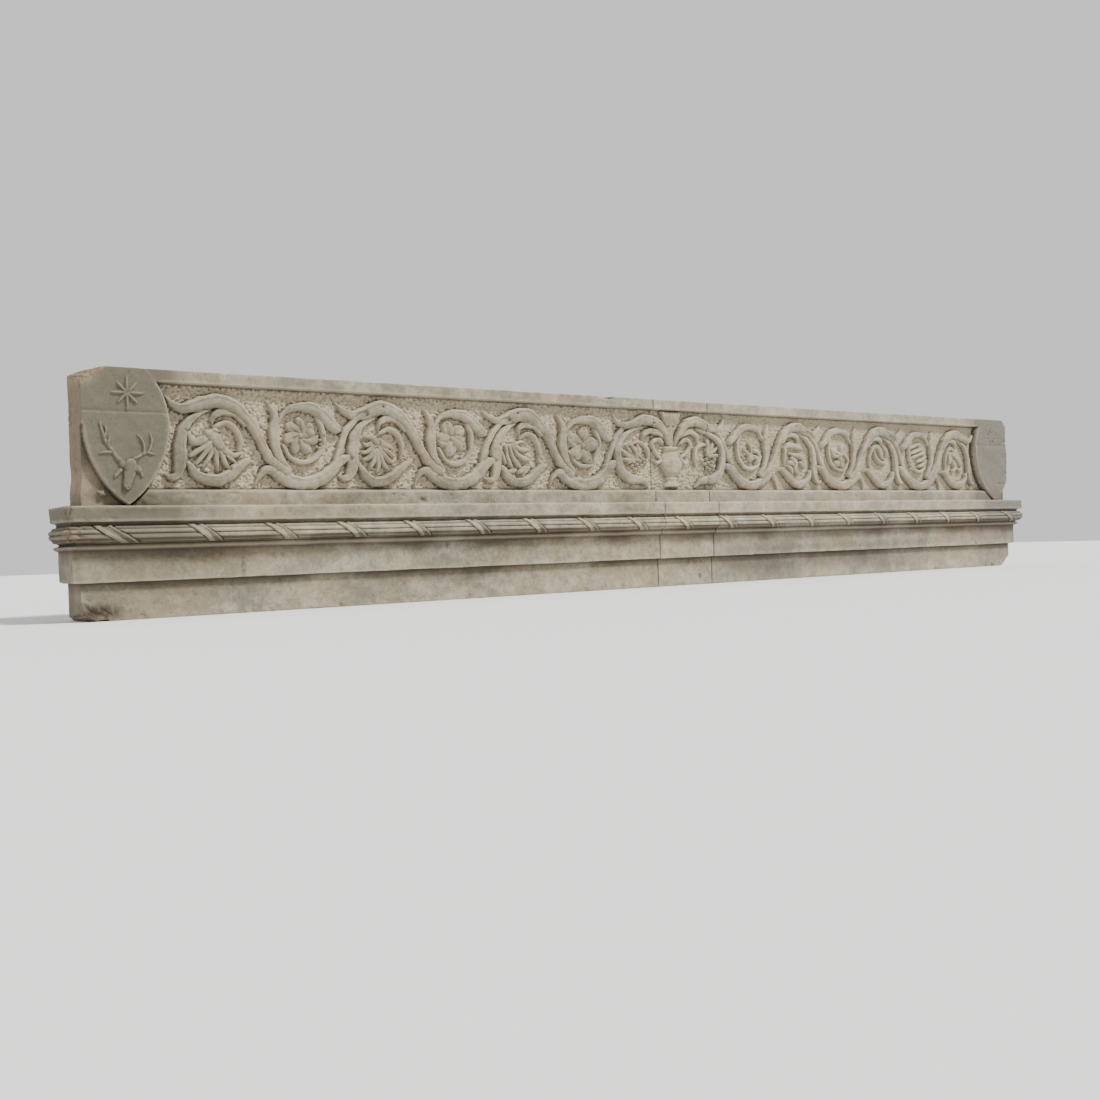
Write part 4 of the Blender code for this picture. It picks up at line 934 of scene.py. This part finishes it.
def addNode(tree, kind, links, settings):
    # one node with its settings and links; a link is (node, output name) or a plain value
    node = tree.nodes.new("ShaderNode" + kind)
    for key, value in settings.items():
        setattr(node, key, value)
    for key, value in links.items():
        socket = node.inputs[key]
        if isinstance(value, tuple) and isinstance(value[0], bpy.types.Node):
            tree.links.new(value[0].outputs[value[1]], socket)
        else:
            socket.default_value = value
    return node


# small dark streaks and stains: X, Y and Z of the middle, then the three sizes, in metres, and the strength
streaks = {
    "stone_left": [(-1.458, -0.032, 0.016, 0.042, 0.040, 0.019, 0.9),
        (-1.180, -0.042, 0.095, 0.006, 0.020, 0.024, 0.6),
        (-1.487, -0.020, 0.150, 0.030, 0.060, 0.012, 0.6),
        (-0.700, -0.042, 0.128, 0.007, 0.020, 0.008, 0.7),
        (-1.300, -0.042, 0.120, 0.120, 0.020, 0.014, 0.3),
        (-1.400, -0.060, 0.213, 0.090, 0.040, 0.010, 0.3),
        (-0.745, -0.032, 0.234, 0.020, 0.020, 0.006, 0.5),
        (-1.020, -0.042, 0.100, 0.060, 0.020, 0.020, 0.25)],
    "stone_centre": [(0.084, -0.032, 0.024, 0.008, 0.020, 0.007, 0.8),
        (0.060, -0.032, 0.060, 0.080, 0.020, 0.016, 0.3)],
    "stone_right": [(1.302, -0.042, 0.080, 0.008, 0.020, 0.005, 0.6),
        (0.980, -0.042, 0.090, 0.150, 0.020, 0.020, 0.25),
        (0.400, -0.042, 0.100, 0.180, 0.020, 0.024, 0.25),
        (1.405, -0.032, 0.004, 0.014, 0.040, 0.006, 0.6)],
}


# the darkest tint paints shade with some soiling in the hollows and the dark streaks; the one after grime
# paints shade with dampness stains under the mouldings
tintNames = ("ground", "warm", "cool", "pale", "stain", "grime", "damp", "dirtAndShade", "worn", "fresh")
tints = {
    "stone_left": ("#b7aa91", "#9a8b70", "#7b7768", "#aea48f", "#625b49", "#5b5647", "#43382b",
        "#2e271d", "#c0b59d", "#94785a"),
    "stone_centre": ("#aa9e86", "#a39477", "#868070", "#b4aa94", "#6f6654", "#5f5c4d", "#4a3f31",
        "#332c22", "#c6bba4", "#a69679"),
    "stone_right": ("#ab9f86", "#9f9076", "#827c6e", "#b0a692", "#7a7262", "#656158", "#483d30",
        "#322b22", "#c3b8a3", "#a1937a"),
}


def sandstone(stone):
    # weathered matt sandstone: mottled beige and grey-green, soiling and painted shade in the hollows,
    # painted shade and dampness stains under the mouldings, pale worn edges and warmer fresh breaks
    material = bpy.data.materials.new("weathered sandstone " + stone[6:])
    material.use_nodes = True
    tree = material.node_tree
    tree.nodes.clear()
    tint = dict(zip(tintNames, map(hexColour, tints[stone])))

    def node(kind, links, **settings):
        return addNode(tree, kind, links, settings)

    place = (node("TexCoord", {}), "Object")

    def spread(value, low, high, most=1.0):
        # a value from 0 at low to most at high
        links = {"Value": value, "From Min": low, "From Max": high, "To Max": most}
        return (node("MapRange", links), "Result")

    def noise(scale, detail, rough, low, high, stretch=None):
        # noise with so many bumps a metre, spread from 0 to 1 between low and high
        vector = place
        if stretch:
            vector = (node("Mapping", {"Vector": place, "Scale": stretch}), "Vector")
        field = node("TexNoise", {"Vector": vector, "Scale": scale, "Detail": detail, "Roughness": rough})
        return spread((field, "Fac"), low, high)

    def tone(key, low, high, most):
        # an attribute carved into the mesh, from 0 at low to most at high
        return spread((node("Attribute", {}, attribute_name=key), "Fac"), low, high, most)

    def times(a, b):
        return (node("Math", {0: a, 1: b}, operation="MULTIPLY"), "Value")

    def streak(middle, size, most):
        # a soft ragged place round a point, most at its middle
        near = node("Mapping", {"Vector": place, "Scale": [1 / s for s in size],
                                "Location": [-m / s for m, s in zip(middle, size)]})
        far = node("VectorMath", {0: (near, "Vector")}, operation="LENGTH")
        return times(spread((far, "Value"), 1.3, 0.4, most), noise(90, 5, 0.7, 0.3, 0.55))

    def blend(share, below, above):
        return (node("Mix", {0: share, 6: below, 7: above}, data_type="RGBA"), 2)

    colour = blend(noise(4, 7, 0.66, 0.4, 0.6), tint["warm"], tint["cool"])
    layers = [(times(noise(17, 7, 0.72, 0.44, 0.62), 0.85), "pale"),
              (times(noise(7, 8, 0.76, 0.5, 0.66, (0.6, 1, 1.3)), 0.75), "stain"),
              (times(noise(55, 6, 0.75, 0.48, 0.64), 0.5), "stain"),
              (times(noise(30, 7, 0.72, 0.5, 0.64), 0.4), "pale"),
              (tone("grime", 0, 1, 0.93), "grime"), (tone("pecked", 0, 1, 0.7), "ground"),
              # painted shade with some dampness staining, in bands under the mouldings
              (times(tone("damp", 0, 0.8, 0.85), noise(7, 5, 0.6, -0.4, 0.48, (0.5, 1, 1.5))), "damp")]
    layers += [(streak((x, y, z), size, most), "dirtAndShade") for x, y, z, *size, most in streaks[stone]]
    # painted shade with some soiling in the hollows, crevices and reed grooves
    layers += [(tone("hollow", 0.5, 5.0, 0.75), "dirtAndShade"),
               (times(noise(240, 3, 0.7, 0.58, 0.68), 0.55), "dirtAndShade"),
               (tone("hollow", -0.6, -3.6, 0.3), "worn"),
               (times(tone("fresh", 0, 1, 0.75), noise(60, 4, 0.6, 0.25, 0.6)), "fresh")]
    for share, key in layers:
        colour = blend(share, colour, tint[key])
    grain = node("TexNoise", {"Vector": place, "Scale": 330.0, "Detail": 4.0, "Roughness": 0.75})
    bump = node("Bump", {"Height": (grain, "Fac"), "Strength": 0.6, "Distance": 0.0012})
    shader = node("BsdfPrincipled", {"Base Color": colour, "Roughness": 0.92, "Normal": (bump, "Normal")})
    node("OutputMaterial", {"Surface": (shader, "BSDF")})
    return material


halfGap, halfLength = lintel["gap"] / 2 / mm, inMm("halfLength")
leftCut, rightCut = inMm("leftJoint"), inMm("rightJoint")
# where each block starts and ends, its triangles and the first seed of its waves
spans = {
    "stone_left": (-halfLength, leftCut - halfGap, blockMesh["keep"], 20),
    "stone_centre": (leftCut + halfGap, rightCut - halfGap, blockMesh["keepCentre"], 40),
    "stone_right": (rightCut + halfGap, halfLength, blockMesh["keep"], 60),
}
blocks = {node: carveBlock(node, *span) for node, span in spans.items()}
for node, block in blocks.items():
    block.data.materials.append(sandstone(node))
    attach(block, "root")
    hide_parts(node)
print("blocks carved")

# Floor, light and camera
studio = {"floor": 14.0, "floorTint": "#e4e3e1", "sky": "#ffffff", "skyLight": 0.85,
          "sunPower": 5.2, "sunSpread": 10, "sunFrom": (1.4, -1.9, 3.2)}
bpy.ops.object.select_all(action="DESELECT")
bpy.ops.mesh.primitive_plane_add(size=studio["floor"])
floor = bpy.context.active_object
floor.name = "floor"
paint = bpy.data.materials.new("matt white floor paint")
paint.use_nodes = True
coat = paint.node_tree.nodes["Principled BSDF"].inputs
coat["Base Color"].default_value = hexColour(studio["floorTint"])
coat["Roughness"].default_value = 0.95
floor.data.materials.append(paint)

world = bpy.data.worlds.new("soft studio")
world.use_nodes = True
sky = world.node_tree.nodes["Background"].inputs
sky["Color"].default_value = hexColour(studio["sky"])
sky["Strength"].default_value = studio["skyLight"]
bpy.context.scene.world = world

bpy.ops.object.light_add(type="SUN", location=studio["sunFrom"])
sun = bpy.context.active_object
sun.name = "soft_key"
sun.data.energy = studio["sunPower"]
sun.data.angle = math.radians(studio["sunSpread"])
sun.rotation_euler = Vector(studio["sunFrom"]).to_track_quat("Z", "Y").to_euler()

camera = {"lens": 37.31, "sensor": 36, "near": 0.05, "at": (-2.0059, -2.3084, 0.1252),
          "yaw": 35.098, "pitch": -0.387, "roll": -1.782}
yaw, pitch, rollTurn = (math.radians(camera[k]) for k in ("yaw", "pitch", "roll"))
forward = Vector((math.sin(yaw) * math.cos(pitch), math.cos(yaw) * math.cos(pitch), math.sin(pitch)))
level = Vector((math.cos(yaw), -math.sin(yaw), 0))
above = level.cross(forward)
right = math.cos(rollTurn) * level + math.sin(rollTurn) * above
up = -math.sin(rollTurn) * level + math.cos(rollTurn) * above
bpy.ops.object.camera_add(location=camera["at"])
cam = bpy.context.active_object
cam.name = "camera"
cam.rotation_euler = Matrix((right, up, -forward)).transposed().to_euler()
cam.data.lens = camera["lens"]
cam.data.sensor_width = camera["sensor"]
cam.data.clip_start = camera["near"]
bpy.context.scene.camera = cam
print("floor, light and camera ready")
